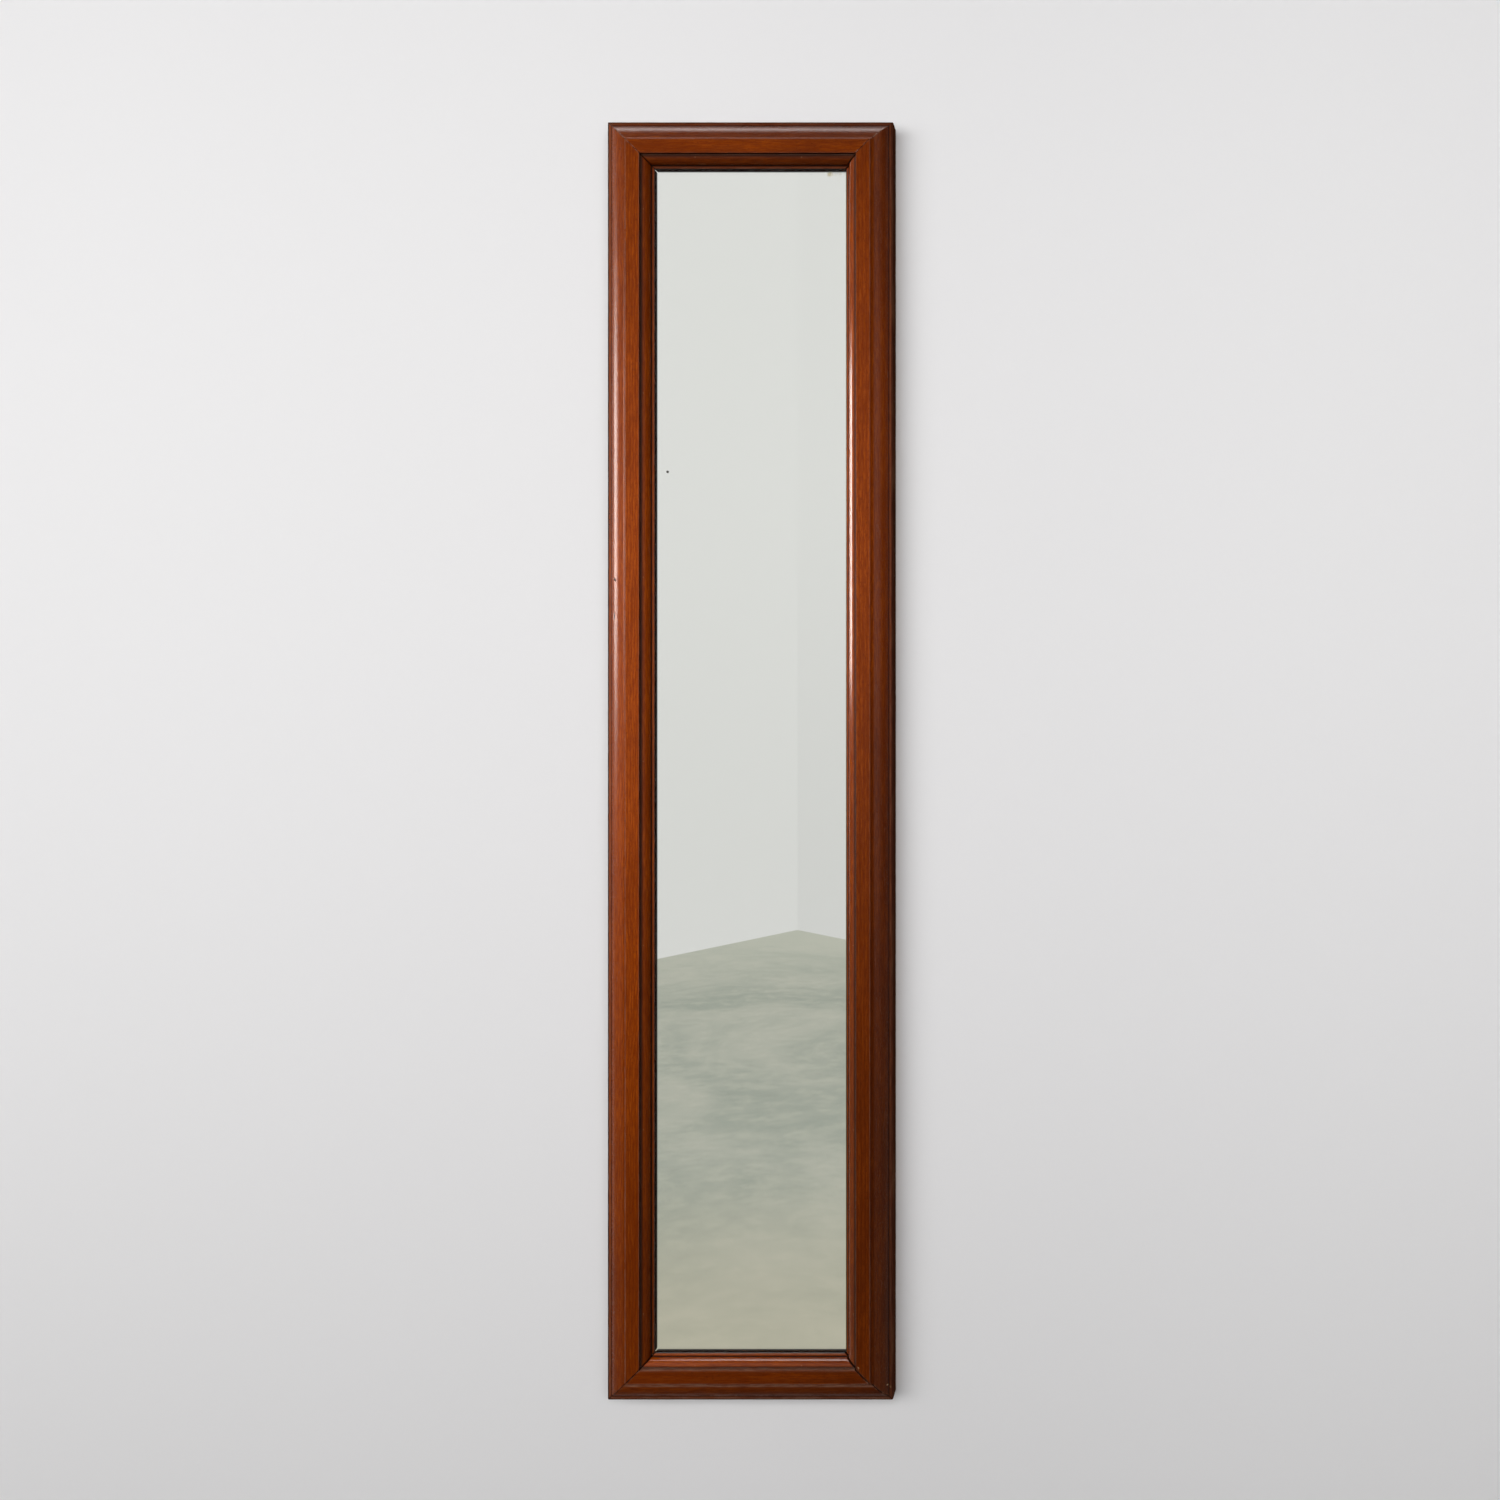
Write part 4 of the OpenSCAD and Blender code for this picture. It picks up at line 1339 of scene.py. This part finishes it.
def panel(name, points, material):
    """One flat panel of the stage, which shows and is mirrored but gives no light."""
    mesh = bpy.data.meshes.new(name)
    mesh.from_pydata([tuple(point) for point in points], [], [list(range(len(points)))])
    mesh.materials.append(material)
    piece = bpy.data.objects.new(name, mesh)
    bpy.context.scene.collection.objects.link(piece)
    piece.visible_diffuse = False
    piece.visible_shadow = False
    print(name, "reaches over", np.ptp(np.array(points), axis=0).round(2), "m")


def from_the_front(finish, front):
    """Shows a shader on the front of a panel only, so that no view is blocked from behind."""
    behind = finish.node("NewGeometry", out="Backfacing")
    clear = finish.node("BsdfTransparent")
    return finished(finish, finish.node("MixShader", {}, {0: behind, 1: front, 2: clear}))


print("the room is", room_h, "m high")


# %% Paint
def wall_paint():
    """Matt white paint. It is paler to the right, where less of the room's light reaches."""
    finish = Finish("wall paint")
    place = own_place(finish)
    cloud = grains(finish, place, 0.9, detail=3)
    [x] = split(finish, place, "X")
    tone = mixed(finish, cloud, (0.80, 0.792, 0.796, 1), (0.78, 0.772, 0.776, 1))
    tone = mixed(finish, level(finish, x, 0.15, 1.25), tone, (0.885, 0.876, 0.880, 1))
    return from_the_front(finish, finish.node("BsdfDiffuse", {}, {"Color": tone}))


white_paint = wall_paint()


# %% Plaster
def room_plaster(name, near, far, rise):
    """A lit wall, as the glass shows it: it glows, dimmer to the right and at its foot."""
    finish = Finish(name)
    x, z = split(finish, own_place(finish), "XZ")
    to_right = level(finish, x, -1.0, 2.4)
    upward = level(finish, z, -2.3, 0.9)
    glow = near + upward * rise + to_right * (far - near)
    light = mixed(finish, glow, (0, 0, 0, 1), (1, 1, 0.985, 1))
    return from_the_front(finish, finish.node("Emission", {}, {"Color": light}))


left_plaster = room_plaster("left room wall", near=0.71, far=0.66, rise=0.062)
right_plaster = room_plaster("right room wall", near=0.67, far=0.50, rise=0.088)


# %% Concrete
def concrete():
    """A pale floor: broad clouds, fine pale and dark specks, and paler near and far off."""
    finish = Finish("pale concrete floor")
    place = own_place(finish)
    cloud = grains(finish, place, 1.5, detail=7, roughness=0.66, distortion=0.8)
    fine = grains(finish, place, 11, detail=5, roughness=0.7)
    [y] = split(finish, place, "Y")
    clouded = level(finish, cloud, 0.34, 0.66)
    tone = mixed(finish, clouded, paint(161, 166, 156), paint(180, 181, 170))
    tone = mixed(finish, level(finish, fine, 0.42, 0.72) * 0.35, tone, paint(200, 198, 184))
    tone = mixed(finish, level(finish, 1 - fine, 0.60, 0.80) * 0.35, tone, paint(142, 144, 134))
    tone = mixed(finish, level(finish, y, -2.2, -0.7) * 0.55, tone, paint(190, 182, 160))
    tone = mixed(finish, level(finish, 0 - y, 4.2, 6.4) * 0.8, tone, paint(192, 193, 181))
    return from_the_front(finish, finish.node("Emission", {}, {"Color": tone}))


pale_concrete = concrete()

# %% Build the room
wall_gap = 0.3 * mm          # the pads just don't touch the wall
wall_x = (-4.5, 4.5)
floor_x, floor_y = (-6, 6), (-7, 5)
left_wall_w, right_wall_w = 4.0, 5.0
ceiling_z = floor_z + room_h
left_run = (left_foot - corner).normalized() * left_wall_w
right_run = (right_foot - corner).normalized() * right_wall_w
up = Vector((0, 0, room_h))

panel("hanging_wall", [
    (wall_x[0], wall_gap, floor_z), (wall_x[1], wall_gap, floor_z),
    (wall_x[1], wall_gap, ceiling_z), (wall_x[0], wall_gap, ceiling_z),
], white_paint)
panel("room_left", [
    corner, corner + left_run, corner + left_run + up, corner + up,
], left_plaster)
panel("room_right", [
    corner, corner + up, corner + right_run + up, corner + right_run,
], right_plaster)
panel("floor", [
    (floor_x[0], floor_y[0], floor_z), (floor_x[1], floor_y[0], floor_z),
    (floor_x[1], floor_y[1], floor_z), (floor_x[0], floor_y[1], floor_z),
], pale_concrete)

# %% [markdown]
# ## Light
# Most of the light comes from the broad white room in front, a little from the left: one large
# area lamp gives it. Polish shows brighter things than that, a window far to the left and a
# skylight, so two more lamps are seen only in reflections. Each lamp is given by its radiance,
# because that is what a reflection shows, whatever the size of the lamp.

# %% Lamps
soft_radiance, window_radiance, sky_radiance = 3.8, 40, 12.2
warm_white = (1, 0.95, 0.89)


def lamp(name, place, target, width, height, glow, tint=(1, 1, 1)):
    """An area lamp of a given radiance, turned to its target."""
    data = bpy.data.lights.new(name, "AREA")
    data.color = tint
    data.shape = "RECTANGLE"
    data.size, data.size_y = width, height
    data.energy = glow * math.pi * width * height
    made = bpy.data.objects.new(name, data)
    made.location = place
    made.rotation_euler = (Vector(target) - Vector(place)).to_track_quat("-Z", "Y").to_euler()
    made.visible_camera = False
    made.visible_transmission = False
    bpy.context.scene.collection.objects.link(made)
    print(name, "gives", round(data.energy), "watts")
    return made


print("the window is", round(window_radiance / soft_radiance, 1), "times as bright as the room")

# %% The three lamps
room_glow = lamp(
    "room_glow", (-1.45, -3.2, -0.24), target=(-1.45, 0, -0.24), width=7.2, height=2.1,
    glow=soft_radiance,
)
room_glow.visible_glossy = False
window = lamp(
    "window", (-4.0, -1.2, 0.02), target=(0, 0, -0.5), width=2.1, height=1.4,
    glow=window_radiance, tint=warm_white,
)
window.visible_diffuse = False
skylight = lamp(
    "skylight", (-0.2, -0.8, 2.8), target=(0, 0, -0.2), width=3.0, height=1.2,
    glow=sky_radiance,
)
skylight.visible_diffuse = False

# %% [markdown]
# ## The world
# The world fills what no lamp reaches. It is dim in front, so that the lamps model the frame,
# and bright behind the wall, where it alone lights the back. The camera and the glass see it
# as a plain pale room. So does polish, but only faintly in front, where it should show the
# lamps.

# %% World
world = bpy.data.worlds.new("white room")
bpy.context.scene.world = world
sky = Finish("white room", world)
to_right, to_wall = split(sky, sky.node("TexCoord", out="Generated"), "XY")
left_glow, right_glow = (0.10, 0.10, 0.10, 1), (0.06, 0.06, 0.06, 1)
back_glow, pale_room = (0.75, 0.75, 0.76, 1), (0.80, 0.80, 0.80, 1)
front_glow = mixed(sky, level(sky, to_right, -0.8, 0.8), left_glow, right_glow)
behind = level(sky, to_wall, -0.05, 0.35)
room_light = mixed(sky, behind, front_glow, back_glow)
seen = sky.node("LightPath", out="Is Camera Ray")
mirrored = sky.node("LightPath", out="Is Glossy Ray") * (behind * 0.75 + 0.15)
through = sky.node("LightPath", out="Is Transmission Ray")
pale = sky.sum("MAXIMUM", sky.sum("MAXIMUM", seen, mirrored), through)
shown = mixed(sky, pale, room_light, pale_room)
background = sky.node("Background", {}, {"Color": shown, "Strength": 1})
finished(sky, background, "World")

# %% Show colours as they are written
bpy.context.scene.view_settings.view_transform = "Standard"
print("view transform:", bpy.context.scene.view_settings.view_transform)
